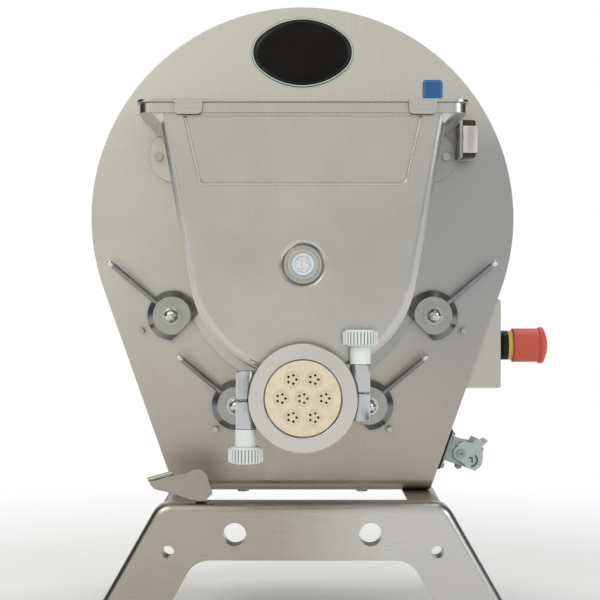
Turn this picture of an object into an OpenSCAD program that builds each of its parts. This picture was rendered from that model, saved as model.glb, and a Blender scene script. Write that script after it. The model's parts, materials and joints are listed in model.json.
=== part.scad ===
// Electric pasta maker: a bench extruder with a mixing tub, a die below it and a splayed stand.
// x = 0 is the middle plane, y = 0 the front face of the front plate, z = 0 the table.

/* [Casing] */
// Radius of the round top of the front plate
plate_r = 232; // [225:1:240]
// Height of that round top's centre above the table
plate_z = 462; // [455:1:470]
// Angle of the slanted sides from the vertical
side_a = 19.5; // [19:0.1:20]
// Height of the underside of the body, and of the stand's top
base_z = 162; // [157:1:166]
// Thickness of the front plate
plate_t = 3; // [2:0.5:4]
// Radius of the front plate's rolled lower edge
bend_r = 12; // [8:1:14]
// Radius of the body's lower corners
corner_r = 4; // [3:0.5:8]
// Depth of the casing behind the plate
casing_d = 300; // [290:1:330]
// Thickness of the casing's sheet
casing_t = 2; // [1.5:0.5:3]
// How far the casing stands inside the plate's edge
casing_gap = 2; // [1:0.5:4]
// Thickness of the rear cover
cover_t = 2; // [1.5:0.5:3]

/* [Stand] */
// How far the stand's front face lies ahead of the plate
stand_y = 90; // [85:1:100]
// Depth of the stand's box-section frames
bar_d = 24; // [20:1:28]
// Distance of the stand's back inside the casing's back end
stand_in = 16; // [10:1:30]
// Half the width of the stand's top
stand_w = 149.7; // [148:0.1:152]
// Splay of the legs' outer edges from the vertical
splay_a = 29.7; // [29:0.1:31]
// Radius of the stand's outer edges
stand_edge_r = 10; // [6:0.5:11]
// Sheet thickness of the stand
stand_t = 2.5; // [2:0.5:3]
// Height of the front arch above the table
arch_z = 102.7; // [98:0.5:106]
// Half the width of the front arch at its top
arch_w = 112; // [108:1:114]
// Slope of the arch's inner edges from the vertical
arch_a = 28.8; // [27:0.1:31]
// Radius of the front arch's upper corners
arch_r = 26; // [20:1:32]
// Radius of the stand's upper corners, seen from the front
stand_corner_r = 22; // [16:1:26]
// Radius of the rear arch's upper corners
rear_arch_r = 10; // [8:1:16]
// Height of the rear frame's cross bar
rear_bar_h = 28; // [25:1:32]
// Width of the side rails
rail_w = 31.7; // [28:0.1:34]
// Distance of the side rails' outer edges inside the stand's top edges
rail_inset = 7.5; // [6:0.1:9]
// Height of the side rails' outer flanges
rail_h = 25; // [18:1:30]
// Height of the rubber feet
foot_h = 12; // [8:1:16]
// Radius of the two large holes in the front frame
hole_r = 12; // [10:0.5:13]
// Half the spacing of the large holes
hole_x = 70.5; // [66:0.5:74]
// Drop of the large holes below the stand's top
hole_drop = 32.5; // [28:0.5:34]
// Radius of the two small holes
small_hole_r = 6.5; // [5:0.5:8]
// Half the spacing of the small holes
small_hole_x = 139.5; // [136:0.5:142]
// Drop of the small holes below the stand's top
small_hole_drop = 50.5; // [46:0.5:54]

/* [Mixing tub] */
// Outer radius of the tub's round bottom
tub_r = 110.5; // [109:0.5:113]
// Flare of the tub's sides from the vertical
tub_a = 10.3; // [9.5:0.1:11]
// Depth of the tub in front of the plate
tub_d = 195; // [185:1:205]
// Wall of the tub
tub_t = 4; // [3:0.5:4.5]
// Radius of the tub's front edge
tub_edge_r = 9; // [6:0.5:10]
// Height of the tub's rim above the table
rim_z = 561; // [555:1:564]
// Height of the rim's outer band
rim_h = 9.8; // [8:0.1:12]
// Half the width of the rim
rim_w = 158; // [155:1:162]
// How far the rim stands ahead of the tub's front
rim_lip = 2; // [1:0.5:3]
// Radius of the rim's front corners
rim_r = 15; // [10:1:20]
// Thickness of the flange that seats on the plate
flange_t = 4; // [3:0.5:5]
// Width of the flange around the tub
flange_w = 21; // [18:0.5:23]
// Radius of the flange's upper ears
ear_r = 28; // [26:0.5:28.4]
// Height of the label panel's lower edge above the hub
panel_rise = 77; // [70:1:90]
// Half the width of the label panel at its lower edge
panel_w = 98.6; // [90:0.2:104]
// Depth of the label panel
panel_t = 1.2; // [0.6:0.1:1.5]

/* [Lid] */
// Thickness of the lid
lid_t = 2.8; // [1.5:0.1:3.2]
// Height of the lid's hinge axis above the rim
hinge_rise = 15; // [14:0.5:18]
// Distance of the hinge axis from the plate
hinge_y = 14; // [13:0.5:16]
// Radius of the hinge pins
hinge_pin_r = 4; // [3:0.5:5]
// Width of the lid's front tabs
tab_w = 27; // [20:0.5:30]
// Distance of the tabs' middles from the lid's middle
tab_x = 112; // [105:1:120]
// Shift of both tabs to the right
tab_shift = 2.5; // [0:0.5:4]
// Drop of the tabs below the rim's top
tab_drop = 11.5; // [8:0.5:13]

/* [Extruder] */
// Height of the auger's axis above the table
auger_z = 279.75; // [276:0.25:283]
// Outer radius of the barrel
barrel_r = 44; // [42:0.5:45]
// Radius of the barrel's bore
bore_r = 29; // [27:0.5:30]
// Length of the barrel in front of the plate
barrel_d = 212; // [208:1:216]
// Radius of the auger's flight
flight_r = 28.4; // [27:0.1:28.6]
// Radius of the auger's core
core_r = 13; // [11:0.5:15]
// Pitch of the auger
pitch = 42; // [34:1:50]
// Radius of the die ring nut's front flange
ring_r = 51.4; // [49:0.2:54]
// Radius of the ring nut behind its front flange
neck_ring_r = 47.4; // [46.5:0.1:47.6]
// Length of the die ring nut
ring_d = 20.5; // [18:0.5:21]
// Radius of the ring nut's front opening
mouth_r = 36.9; // [35:0.1:39]
// Thickness of the ring nut's front lip
lip_t = 6; // [4:0.5:8]
// Thickness of the die's flange
die_t = 7; // [6:0.5:9]
// Radius of the round inserts in the die
insert_r = 7.5; // [6:0.25:8.5]

/* [Clamps] */
// Distance of the clamp pins from the middle
clamp_x = 54; // [53:0.5:56]
// Radius of the chrome knuckles
knuckle_r = 9.5; // [8.5:0.25:10]
// Radius of the clamp pins
clamp_pin_r = 4; // [3:0.25:4.5]
// Height of each knuckle
knuckle_h = 26; // [23:0.5:27]
// Gap between the left knuckles
left_gap = 2.6; // [1.6:0.2:5]
// Gap between the right knuckles
right_gap = 1.4; // [1:0.2:3]
// Radius of the knobs' ribbed heads
knob_r = 16.5; // [15:0.1:16.8]
// Height of the knobs' heads
knob_h = 15.4; // [13:0.2:18]
// Radius of the knobs' necks
neck_r = 9.8; // [8.8:0.2:11]
// Height of the knobs' necks
neck_h = 17; // [14:0.5:20]

/* [Cam locks] */
// Distance of the upper cams from the middle
cam_x = 142.5; // [141:0.5:144]
// Height of the upper cams below the hub
cam_drop = 51; // [48:0.5:54]
// Distance of the lower cams from the middle
low_cam_x = 72; // [71:0.5:73]
// Height of the lower cams below the auger's axis
low_cam_drop = 23; // [21:0.5:24]
// Radius of the cam discs
cam_r = 27.3; // [26.5:0.1:28]
// Radius of the cams' front face
cam_face_r = 20.6; // [19:0.2:22]
// Distance of the cams' flat from their axis
cam_flat = 18.5; // [17.5:0.25:19.5]
// Thickness of the cam discs
cam_t = 10; // [8:0.5:12]
// Radius of the cam studs
stud_r = 5; // [4:0.5:6]
// Radius of the lever rods
lever_r = 3; // [2.5:0.25:3.5]
// Reach of the upper levers from the cam's axis
lever_l = 89; // [80:1:94]
// Reach of the lower levers from the cam's axis
low_lever_l = 83; // [76:1:86]
// Angle of the levers above the horizontal
lever_a = 41; // [38:0.5:44]
// Tilt of the levers away from the plate
lever_tilt = 12; // [8:1:16]
// Radius of the stop pins
stop_r = 3; // [2:0.5:4]

/* [Drive] */
// Module of the gears
gear_m = 2.5; // [2.5]
// Teeth on the auger's gear
auger_teeth = 56; // [56]
// Teeth on the mixer's gear
mixer_teeth = 45; // [45]
// Teeth on the motor's pinion
pinion_teeth = 18; // [16:1:20]
// Width of the gears
gear_w = 20; // [16:1:24]
// Radius of the auger's drive shaft
auger_shaft_r = 15; // [13:0.5:17]
// Radius of the mixer's shaft
mixer_shaft_r = 12; // [10:0.5:13]
// Reach of the mixing paddles from the shaft's axis
paddle_reach = 96; // [90:0.5:96.5]
// Thickness of the gearbox plates
box_t = 12; // [10:0.5:14]
// Space between the gearbox plates
box_gap = 38; // [34:1:42]
// Gap between the motor's housing and the casing's slanted wall
motor_gap = 8.6; // [6:0.2:14]
// Length of the motor's housing
motor_l = 150; // [130:1:160]

/* [Controls] */
// Height of the control box's lower edge
ctrl_z = 275; // [268:1:282]
// Height of the control box
ctrl_h = 98; // [94:1:102]
// Distance of the control box's face inside the plate's widest point
ctrl_in = 13.3; // [11:0.1:15]
// Depth of the control box
ctrl_d = 145; // [140:1:160]
// Height of the buttons' axes above the box's lower edge
button_rise = 46; // [42:0.5:50]
// Radius of the stop button's head
stop_head_r = 18.9; // [18:0.1:20]
// Length of the stop button's head
stop_head_l = 39.5; // [34:0.5:42]
// Radius of the stop button's collars
collar_r = 16.4; // [15:0.1:17]
// Travel of the stop button
stop_travel = 5; // [4:0.5:6]
// Travel of the start button
start_travel = 3; // [2:0.5:3.5]

/* [Socket] */
// Height of the socket on the slanted side
socket_z = 208; // [204:1:212]
// Distance of the socket's middle behind the plate
socket_y = 32; // [30:1:40]
// Side of the socket's square base
socket_w = 46; // [44:1:48]

/* [Hidden] */
$fn = 96;
// Radial clearance of a running fit
run = 0.05;
// Clearance between pieces that move past each other
gap = 0.3;

// Tuck of a corner's circle inside its chord
tuck = 0.02;

tub_y = -tub_d;
barrel_y = -barrel_d;
mixer_z = auger_z + gear_m * (auger_teeth + mixer_teeth) / 2;
stand_front = -stand_y;
stand_rear = casing_d - stand_in;
leg_z = foot_h;
rail_x = stand_w - rail_inset;

// Fasteners and vents of the casing
lip_w = 14;
cover_screw_r = 2.5;
rail_bolt_r = 4;
rail_bolt_y = 55;
box_screw_x = 66;
box_screw_r = 3;
wire_r = 9;
vent_w = 5;
vent_h = 52;
vent_step = 12;
gland_x = 122 - plate_r;
gland_z = base_z + 42;
gland_r = 9;
cable_r = 4.5;
badge_w = 112;
badge_h = 76;
badge_end_r = 26;
badge_t = 1.5;
badge_z = plate_z + plate_r - 50;

// Small lever on the stand
lever_px = -106;
lever_pz = base_z + 9;
lever_pin_r = 3;
lever_y = stand_front + 4;
lever_plate_t = 3;
lever_rod_r = 2.4;
lug_y = stand_front + 11;

// Tub, hub and flange
panel_a = 12.8;
hub_r = 14.8;
hub_l = 6;
hub_in = 10;
hub_dish_d = 2.4;
hub_dish_r = 24;
hub_lip_r = 7.5;
bush_r = 10.5;
hub_cap_r = 8;
flange_x = tub_r + 8.7;
flange_side = 6;
flange_low = 8.5;
ear_x = 140;
ear_z = mixer_z + 123;
ear_pin_x = 157.5;

// Lid and its sensor
hinge_z = rim_z + hinge_rise;
lid_z = rim_z + gap;
lid_y0 = tub_y - rim_lip - 2;
ear_t = 3;
tab_t = 1.5;
bracket_w = 7;
sensor_x = 168.5;
sensor_z0 = rim_z - 36;
sensor_z1 = rim_z + 4;
sensor_d = 38;
sensor_r = 7.5;
sensor_end = 6.5;
sensor_low = 4.7;
sensor_clip = 1;
sensor_corner = 3;

// Extruder and clamps
ring_y = barrel_y - die_t - lip_t;
die_boss_r = mouth_r - 1.2;
flange_d = 5;
collar_t = 7;
collar_y = ring_y + ring_d + 1;
pin_y = tub_y - 17.5;
left_z = auger_z - 2;
right_z = auger_z + 5;
left_foot = left_z - left_gap / 2 - knuckle_h;
right_top = right_z + right_gap / 2 + knuckle_h;
insert_ring = 20.5;
strand_r = 1.2;
auger_back = 12;
flight_t = 5;
seal_t = 8;
paddle_r = 6;
paddle_t = 10;

// Cam locks
cam_y = -flange_t - 0.4;
cam_z = mixer_z - cam_drop;
low_cam_z = auger_z - low_cam_drop;
nut_y = cam_y - cam_t - gap;
washer_t = 1.2;
stop_up = [33.7, -17];
stop_low = [23.2, -26.3];
stop_l = 12;

// Drive
backlash = 0.25;
gear_y = plate_t + box_t + 9;
box_rear_y = plate_t + box_t + box_gap;
box_w = 95;
motor_y = box_rear_y + box_t;
motor_a = -20;
motor_dist = gear_m * (auger_teeth + pinion_teeth) / 2;
motor_x = motor_dist * cos(motor_a);
motor_z = auger_z + motor_dist * sin(motor_a);
motor_r = (body_x(motor_z, casing_gap + casing_t) - motor_x) * cos(side_a) - motor_gap;
motor_shaft_r = 9.5;
stator_wall = 25.4;
air_gap = 0.6;
elec_x = 119 - plate_r;
elec_w = 73;
elec_h = 122;
elec_y0 = 105;
elec_y1 = casing_d - 55;
fan_l = 40;

// Controls and socket
ctrl_x = plate_r - ctrl_in;
ctrl_y0 = 5;
ctrl_t = 1.5;
button_z = ctrl_z + button_rise;
stop_y = 40;
start_y = 84;
selector_y = 120;
stop_x = ctrl_x + 17.8;
stem_r = 8;
start_r = 9.5;
selector_r = 11.5;
selector_stem_r = 5;
bezel_t = 2.5;
socket_gasket_t = 5.4;
socket_base_t = 7.4;
socket_px = 22.5;
socket_pz = 1.5;
housing_u = 26;
housing_low = -12;
housing_top = 15;
slot_u = 35.5;
slot_v = -2;
cover_px = housing_u;
cover_pz = housing_low - 2.6;
cover_pin_r = 1.6;
cover_ear_r = 2.2;

// ---- Shared forms ----

// Cylinder along y
module rod_y(r, y0, y1) {
    translate([0, y0, 0]) rotate([-90, 0, 0]) cylinder(r = r, h = y1 - y0);
}

// Cylinder along x
module rod_x(r, x0, x1) {
    translate([x0, 0, 0]) rotate([0, 90, 0]) cylinder(r = r, h = x1 - x0);
}

// Outline in x and z, given a thickness along y
module slab_y(y0, y1) {
    translate([0, y1, 0]) rotate([90, 0, 0]) linear_extrude(y1 - y0) children();
}

// Box between two corners
module block(x0, x1, y0, y1, z0, z1) {
    translate([x0, y0, z0]) cube([x1 - x0, y1 - y0, z1 - z0]);
}

// Ring along y
module ring_y(r_out, r_in, y0, y1) {
    difference() {
        rod_y(r_out, y0, y1);
        rod_y(r_in, y0 - 1, y1 + 1);
    }
}

// A piece and its twin on the other side of the middle plane
module both_sides() {
    children();
    mirror([1, 0, 0]) children();
}

// Circle for a rounded corner, a hair inside the chord's ends so that the edges cross cleanly
module corner(r) {
    circle(r - tuck);
}

// Symmetric slab whose sides meet |x| cos(a) + z sin(a) = d, square at z0 and rounded at z1
module wedge(y0, y1, d, a, z0, z1, r) {
    up = z1 > z0 ? 1 : -1;
    cz = z1 - up * r;
    cx = (d - r - cz * sin(a)) / cos(a);
    x0 = (d - z0 * sin(a)) / cos(a);
    side = [cx + r * cos(a), cz + r * sin(a)];
    if (r > 0) {
        for (s = [-1, 1]) translate([s * cx, 0, cz]) rod_y(r - tuck, y0, y1);
        slab_y(y0, y1)
            polygon([[x0, z0], side, [cx, z1], [-cx, z1], [-side[0], side[1]], [-x0, z0]]);
    } else {
        slab_y(y0, y1) polygon([[x0, z0], [cx, z1], [-cx, z1], [-x0, z0]]);
    }
}

// Half the width of the body at a height
function body_x(z, inset) = (plate_r - inset + (z - plate_z) * sin(side_a)) / cos(side_a);

// Body between two depths: a round top on straight tapering sides
module body_slab(y0, y1, inset, foot_inset) {
    r = plate_r - inset;
    translate([0, 0, plate_z]) rod_y(r - tuck, y0, y1);
    wedge(y0, y1, r - plate_z * sin(side_a), -side_a, plate_z - r * sin(side_a),
        base_z + foot_inset, corner_r);
}

// Half the width of the tub at a height
function tub_x(z, inset) = (tub_r - inset + (z - mixer_z) * sin(tub_a)) / cos(tub_a);

// Tub between two depths: a round bottom under flared sides
module tub_slab(y0, y1, inset) {
    r = tub_r - inset;
    translate([0, 0, mixer_z]) rod_y(r - tuck, y0, y1);
    wedge(y0, y1, r - mixer_z * sin(tub_a), -tub_a, mixer_z - r * sin(tub_a), rim_z, 0);
}

// Square with one rounded corner, from x0 to x1 and y0 to y1, round at (x1, y0)
module rounded_profile(x0, x1, y0, y1, r) {
    translate([x1 - r, y0 + r]) corner(r);
    polygon([[x0, y0], [x1 - r, y0], [x1, y0 + r], [x1, y1], [x0, y1]]);
}

// Body of the tub with its rounded front edge, drawn inset by a wall and cut off at a height
module tub_block(inset, top) {
    r = tub_r - inset;
    edge = tub_edge_r - inset;
    y0 = tub_y + inset;
    intersection() {
        union() {
            translate([0, 0, mixer_z]) rotate([-90, 0, 0]) rotate_extrude()
                rounded_profile(0, r - tuck, y0 + tuck, 0, edge);
            both_sides() translate([0, 0, mixer_z]) rotate([0, tub_a, 0])
                linear_extrude((rim_z - mixer_z + r) / cos(tub_a))
                    rounded_profile(-r / 2, r, y0, 0, edge);
        }
        block(-plate_r, plate_r, tub_y - 1, 1, auger_z, top);
    }
}

// ---- Casing ----

module front_plate() {
    color("gainsboro") difference() {
        union() {
            intersection() {
                body_slab(0, plate_t, 0, 0);
                block(-plate_r, plate_r, -1, plate_t + 1, base_z + bend_r, plate_z + plate_r + 1);
            }
            intersection() {
                body_slab(0, bend_r, 0, 0);
                rolled_edge();
            }
        }
        translate([0, 0, auger_z]) rod_y(auger_shaft_r + 5, -1, plate_t + 1);
        translate([0, 0, mixer_z]) rod_y(mixer_shaft_r + 6, -1, plate_t + 1);
        at_cams() rod_y(stud_r, -1, plate_t + 1);
        at_stops() rod_y(stop_r, -1, plate_t + 1);
        at_ears() rod_y(stop_r, -1, plate_t + 1);
    }
}

// Quarter tube that turns the plate's lower edge back under the body
module rolled_edge() {
    intersection() {
        translate([0, bend_r, base_z + bend_r]) difference() {
            rod_x(bend_r, -plate_r, plate_r);
            rod_x(bend_r - plate_t, -plate_r - 1, plate_r + 1);
        }
        block(-plate_r, plate_r, -1, bend_r, base_z - 1, base_z + bend_r);
    }
}

module casing_shell() {
    color("lightgray") difference() {
        body_slab(plate_t, casing_d, casing_gap, 0);
        body_slab(plate_t - 1, casing_d - cover_t, casing_gap + casing_t, casing_t);
        body_slab(casing_d - cover_t - 1, casing_d + 1, casing_gap + lip_w, lip_w);
        block(-plate_r, plate_r, plate_t - 1, bend_r, base_z - 1, base_z + bend_r);
        at_cover_screws() rod_y(cover_screw_r, casing_d - cover_t - 1, casing_d + 1);
        at_rail_bolts() cylinder(r = rail_bolt_r, h = casing_t * 3, center = true);
        at_box_screws() cylinder(r = box_screw_r, h = casing_t * 3, center = true);
        translate([0, start_y, button_z]) rod_x(wire_r, body_x(button_z, casing_gap) - 15, ctrl_x);
    }
}

module rear_cover() {
    color("lightgray") difference() {
        body_slab(casing_d, casing_d + cover_t, casing_gap, 0);
        at_cover_screws() rod_y(cover_screw_r, casing_d - 1, casing_d + cover_t + 1);
        for (i = [-4 : 4]) translate([motor_x + i * vent_step, 0, motor_z])
            block(-vent_w / 2, vent_w / 2, casing_d - 1, casing_d + cover_t + 1, -vent_h / 2,
                vent_h / 2);
        for (i = [-8 : 8]) translate([i * vent_step, 0, plate_z + plate_r * 0.55])
            block(-vent_w / 2, vent_w / 2, casing_d - 1, casing_d + cover_t + 1, -vent_h / 2,
                vent_h / 2);
        translate([gland_x, 0, gland_z]) rod_y(gland_r, casing_d - 1, casing_d + cover_t + 1);
    }
}

// Places of the rear cover's screws: around the round top, on the sides and along the foot
module at_cover_screws() {
    r = plate_r - casing_gap - lip_w / 2;
    for (a = [0 : 45 : 180]) translate([r * cos(a), 0, plate_z + r * sin(a)]) children();
    for (s = [-1, 1]) {
        translate([s * (body_x(base_z + 90, casing_gap + lip_w / 2)), 0, base_z + 90]) children();
        translate([s * 70, 0, base_z + lip_w / 2]) children();
    }
}

// Places of the bolts that hold the body to the stand's rails
module at_rail_bolts() {
    for (s = [-1, 1]) for (y = [rail_bolt_y, casing_d - rail_bolt_y])
        translate([s * (rail_x - rail_w / 2), y, base_z]) children();
}

// Places of the screws that hold the gearbox to the casing's floor
module at_box_screws() {
    for (s = [-1, 1]) translate([s * box_screw_x, plate_t + box_t + 8, base_z]) children();
}

module screws_and_bolts() {
    color("dimgray") {
        at_cover_screws() {
            rod_y(cover_screw_r, casing_d - cover_t - 4, casing_d + cover_t);
            difference() {
                rod_y(cover_screw_r * 2, casing_d + cover_t, casing_d + cover_t + 2.5);
                rotate([90, 0, 0]) cylinder(r = cover_screw_r, h = 2 * (casing_d + cover_t + 1),
                    center = true, $fn = 6);
            }
        }
        at_rail_bolts() {
            translate([0, 0, -stand_t]) cylinder(r = rail_bolt_r, h = stand_t + casing_t + 8);
            translate([0, 0, -stand_t - 5.5]) cylinder(r = rail_bolt_r * 1.9, h = 5.5, $fn = 6);
            translate([0, 0, casing_t]) cylinder(r = rail_bolt_r * 1.9, h = 6, $fn = 6);
        }
        at_box_screws() {
            cylinder(r = box_screw_r, h = casing_t + 5);
            translate([0, 0, -2.8]) cylinder(r = box_screw_r * 2.2, h = 2.8);
        }
        on_side() for (y = [-1, 1]) for (z = [-1, 1])
            translate([socket_base_t, y * (socket_w / 2 - 6), z * (socket_w / 2 - 5)])
                rod_x(2.6, 0, 2);
    }
}

// Oval of four arcs: two wide ones above and below, two narrow ones at the ends
module badge_oval(inset) {
    a = badge_w / 2 - inset;
    b = badge_h / 2 - inset;
    r = badge_end_r - inset;
    big = (pow(a - r, 2) + b * b - r * r) / (2 * (b - r));
    x_join = big * (a - r) / (big - r);
    intersection() {
        translate([0, b - big]) circle(big, $fn = 180);
        translate([0, big - b]) circle(big, $fn = 180);
        square([2 * x_join, 2 * b + 1], center = true);
    }
    for (s = [-1, 1]) translate([s * (a - r), 0]) corner(r);
}

module badge() {
    color("black") translate([0, 0, badge_z]) difference() {
        slab_y(-badge_t, 0) badge_oval(0);
        slab_y(-badge_t - 1, -badge_t + 0.4) badge_oval(2.2);
    }
}

// ---- Stand ----

module stand_slab(y0, y1, inset, r, z0) {
    d = stand_w * cos(splay_a) + base_z * sin(splay_a) - inset;
    wedge(y0, y1, d, splay_a, z0, base_z - inset, r);
}

module front_arch(y0, y1, grow) {
    d = arch_w * cos(arch_a) + arch_z * sin(arch_a) + grow;
    wedge(y0, y1, d, arch_a, leg_z - 1, arch_z + grow, arch_r + grow);
}

module rear_arch(y0, y1, grow) {
    stand_slab(y0, y1, rear_bar_h - grow, rear_arch_r + grow, leg_z - 1);
}

// Frame plate from y = 0 to bar_d: a bar and two legs with a rolled front edge all round
module frame_block() {
    r = stand_corner_r;
    er = stand_edge_r;
    cz = base_z - r;
    cx = stand_w - r * tan((90 - splay_a) / 2);
    fill = base_z / 2;
    intersection() {
        union() {
            both_sides() translate([cx, 0, cz]) rotate([0, -90, 0]) linear_extrude(cx + 1)
                rounded_profile(-fill, r, 0, bar_d + 1, er);
            both_sides() translate([cx, 0, cz]) {
                rotate([-90, 0, 0]) rotate_extrude()
                    rounded_profile(0, r - tuck, tuck, bar_d + 1, er);
                mirror([0, 0, 1]) rotate([0, splay_a, 0]) linear_extrude(2 * base_z)
                    rounded_profile(-fill, r, 0, bar_d + 1, er);
            }
        }
        block(-plate_r * 2, plate_r * 2, -1, bar_d, leg_z, base_z + 1);
    }
}

module frame_hollow() {
    inset = stand_t + stand_edge_r * 0.4;
    stand_slab(stand_t, bar_d - stand_t, inset, stand_corner_r - inset, leg_z + stand_t);
}

// Holes through the front frame, or the sleeves around them
module stand_holes(grow) {
    both_sides() {
        translate([hole_x, 0, base_z - hole_drop]) rod_y(hole_r + grow, -1, bar_d + 1);
        translate([small_hole_x, 0, base_z - small_hole_drop])
            rod_y(small_hole_r + grow, -1, bar_d + 1);
    }
}

module stand_front_frame() {
    color("silver") {
        translate([0, stand_front, 0]) difference() {
            frame_block();
            difference() {
                frame_hollow();
                front_arch(0, bar_d, stand_t);
                stand_holes(stand_t);
            }
            front_arch(-1, bar_d + 1, 0);
            stand_holes(0);
        }
        difference() {
            block(lever_px - 6, lever_px + 6, lug_y, lug_y + 8, base_z, lever_pz + 6);
            translate([lever_px, 0, lever_pz]) rod_y(lever_pin_r + run, lug_y - 1, lug_y + 9);
        }
    }
}

module stand_rear_frame() {
    color("silver") translate([0, stand_rear, 0]) mirror([0, 1, 0]) difference() {
        frame_block();
        difference() {
            frame_hollow();
            rear_arch(0, bar_d, stand_t);
        }
        rear_arch(-1, bar_d + 1, 0);
    }
}

// Side rail: a flat strip under the body with a flange that follows the legs' splay
module side_rail() {
    dx = rail_h * tan(splay_a);
    wall = stand_t / cos(splay_a);
    x0 = rail_x - rail_w;
    difference() {
        slab_y(stand_front + bar_d, stand_rear - bar_d) polygon([
            [x0, base_z], [rail_x, base_z], [rail_x + dx, base_z - rail_h],
            [rail_x + dx - wall, base_z - rail_h],
            [rail_x - wall + stand_t * tan(splay_a), base_z - stand_t],
            [x0, base_z - stand_t]]);
        at_rail_bolts() cylinder(r = rail_bolt_r, h = 4 * stand_t, center = true);
    }
}

module stand_left_rail() {
    color("silver") mirror([1, 0, 0]) side_rail();
}

module stand_right_rail() {
    color("silver") side_rail();
}

// One rubber pad under the end of each leg
module stand_feet() {
    x_in = (arch_w * cos(arch_a) + (arch_z - foot_h) * sin(arch_a)) / cos(arch_a);
    x_out = stand_w + (base_z - foot_h) * tan(splay_a);
    x_rear = x_out - rear_bar_h / cos(splay_a);
    color("black") both_sides() {
        block(x_in + 4, x_out, stand_front + 2, stand_front + bar_d - 2, 0, foot_h);
        block(x_rear + 2, x_out, stand_rear - bar_d + 2, stand_rear - 2, 0, foot_h);
    }
}

// Small lever that stands on the left of the stand: a plate on a pin, with a rod for the hand
module stand_lever() {
    color("silver") {
        slab_y(lever_y, lever_y + lever_plate_t) translate([lever_px, lever_pz]) polygon([
            [5.5, -6.3], [12.5, 0], [6.5, 20.4], [0.4, 25.6], [-7.4, 24.8], [-14.3, 21.3],
            [-28.2, 18.8], [-52.3, 12.6], [-52.3, 10], [-48, 5], [-28.2, 0], [-9, -6.3]]);
        translate([lever_px, 0, lever_pz])
            rod_y(lever_pin_r, lever_y + lever_plate_t - 1, lug_y + 10);
        translate([lever_px - 28.5, lever_y + lever_plate_t / 2, lever_pz + 21.6])
            rotate([0, -105.5, 0]) cylinder(r = lever_rod_r, h = 27);
    }
}

// ---- Mixing tub ----

// Rounded band around the tub's mouth, with a fillet below it on each side
module rim_band() {
    z0 = rim_z - rim_h;
    y0 = tub_y - rim_lip;
    fillet = 14;
    sunk = 0.5;
    xw = tub_x(z0 - fillet, 0);
    edge_y = tub_y + tub_edge_r;
    lip = fillet + tub_edge_r;
    translate([0, 0, z0]) linear_extrude(rim_h) {
        translate([-rim_w + rim_r, y0]) square([2 * (rim_w - rim_r), -y0 - flange_t]);
        translate([-rim_w, y0 + rim_r]) square([2 * rim_w, -y0 - rim_r - flange_t]);
        for (s = [-1, 1]) translate([s * (rim_w - rim_r), y0 + rim_r]) corner(rim_r);
    }
    both_sides() difference() {
        block(xw - 3, xw + fillet, tub_y + tuck, -flange_t, z0 - fillet + sunk, z0 + 1);
        translate([xw + fillet, 0, z0 - fillet]) rotate([-90, 0, 0]) rotate_extrude() {
            translate([0, edge_y - tuck]) square([fillet, -edge_y]);
            difference() {
                translate([0, tub_y - 1]) square([lip, tub_edge_r + 1]);
                translate([lip, edge_y]) circle(tub_edge_r);
            }
        }
    }
}

module label_panel() {
    d = panel_w * cos(panel_a) - (mixer_z + panel_rise) * sin(panel_a);
    wedge(tub_y - 1, tub_y + panel_t, d, -panel_a, rim_z - rim_h - 3, mixer_z + panel_rise, 6);
}

module mixing_tub() {
    color("lightgray") difference() {
        union() {
            difference() {
                union() {
                    tub_block(0, rim_z - rim_h + 1);
                    rim_band();
                }
                tub_block(tub_t, rim_z + 1);
                label_panel();
                hub_dish();
            }
            translate([0, 0, mixer_z]) rod_y(hub_r, tub_y - hub_l, tub_y + tub_t + hub_in);
        }
        translate([0, 0, mixer_z]) rod_y(bush_r, tub_y - hub_l - 1, tub_y + tub_t + hub_in + 1);
        translate([0, 0, auger_z]) rod_y(barrel_r, tub_y - 1, 1);
        block(-rim_w - 1, rim_w + 1, -flange_t, 1, base_z, rim_z + 1);
    }
}

// Dish around the hub: a flat floor and a soft lip
module hub_dish() {
    translate([0, tub_y, mixer_z]) rotate([-90, 0, 0]) rotate_extrude() difference() {
        translate([hub_r - 1, -1]) square([hub_dish_r - hub_r + 1, 1 + hub_dish_d]);
        translate([hub_dish_r, hub_lip_r - tuck]) circle(hub_lip_r);
    }
}

module tub_flange() {
    color("wheat") difference() {
        union() {
            intersection() {
                translate([0, 0, mixer_z]) rod_y(tub_r + flange_w, -flange_t, 0);
                block(-flange_x, flange_x, -flange_t, 0, base_z, mixer_z + 30);
            }
            intersection() {
                tub_slab(-flange_t, 0, -flange_side);
                block(-plate_r, plate_r, -flange_t, 0, mixer_z, rim_z - 2);
            }
            translate([0, 0, auger_z]) rod_y(barrel_r + flange_low, -flange_t, 0);
            for (s = [-1, 1]) translate([s * ear_x, 0, ear_z]) rod_y(ear_r, -flange_t, 0);
        }
        translate([0, 0, auger_z]) rod_y(barrel_r, -flange_t - 1, 1);
        translate([0, 0, mixer_z]) rod_y(mixer_shaft_r + 6, -flange_t - 1, 1);
        at_ears() rod_y(stop_r + 1, -flange_t - 1, 1);
    }
}

module at_ears() {
    for (s = [-1, 1]) translate([s * ear_pin_x, 0, ear_z]) children();
}

module at_cams() {
    for (s = [-1, 1]) {
        translate([s * cam_x, 0, cam_z]) children();
        translate([s * low_cam_x, 0, low_cam_z]) children();
    }
}

module at_stops() {
    for (s = [-1, 1]) {
        translate([s * (cam_x + stop_up[0]), 0, cam_z + stop_up[1]]) children();
        translate([s * (low_cam_x + stop_low[0]), 0, low_cam_z + stop_low[1]]) children();
    }
}

// Locating pins in the flange's ears and stop pins beside the cams
module plate_pins() {
    color("silver") {
        at_ears() {
            rod_y(stop_r, -flange_t - 4, plate_t);
            rod_y(stop_r + 1.6, -flange_t - 4.5, -flange_t - 0.2);
        }
        at_stops() rod_y(stop_r, -stop_l, plate_t);
    }
}

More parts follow.
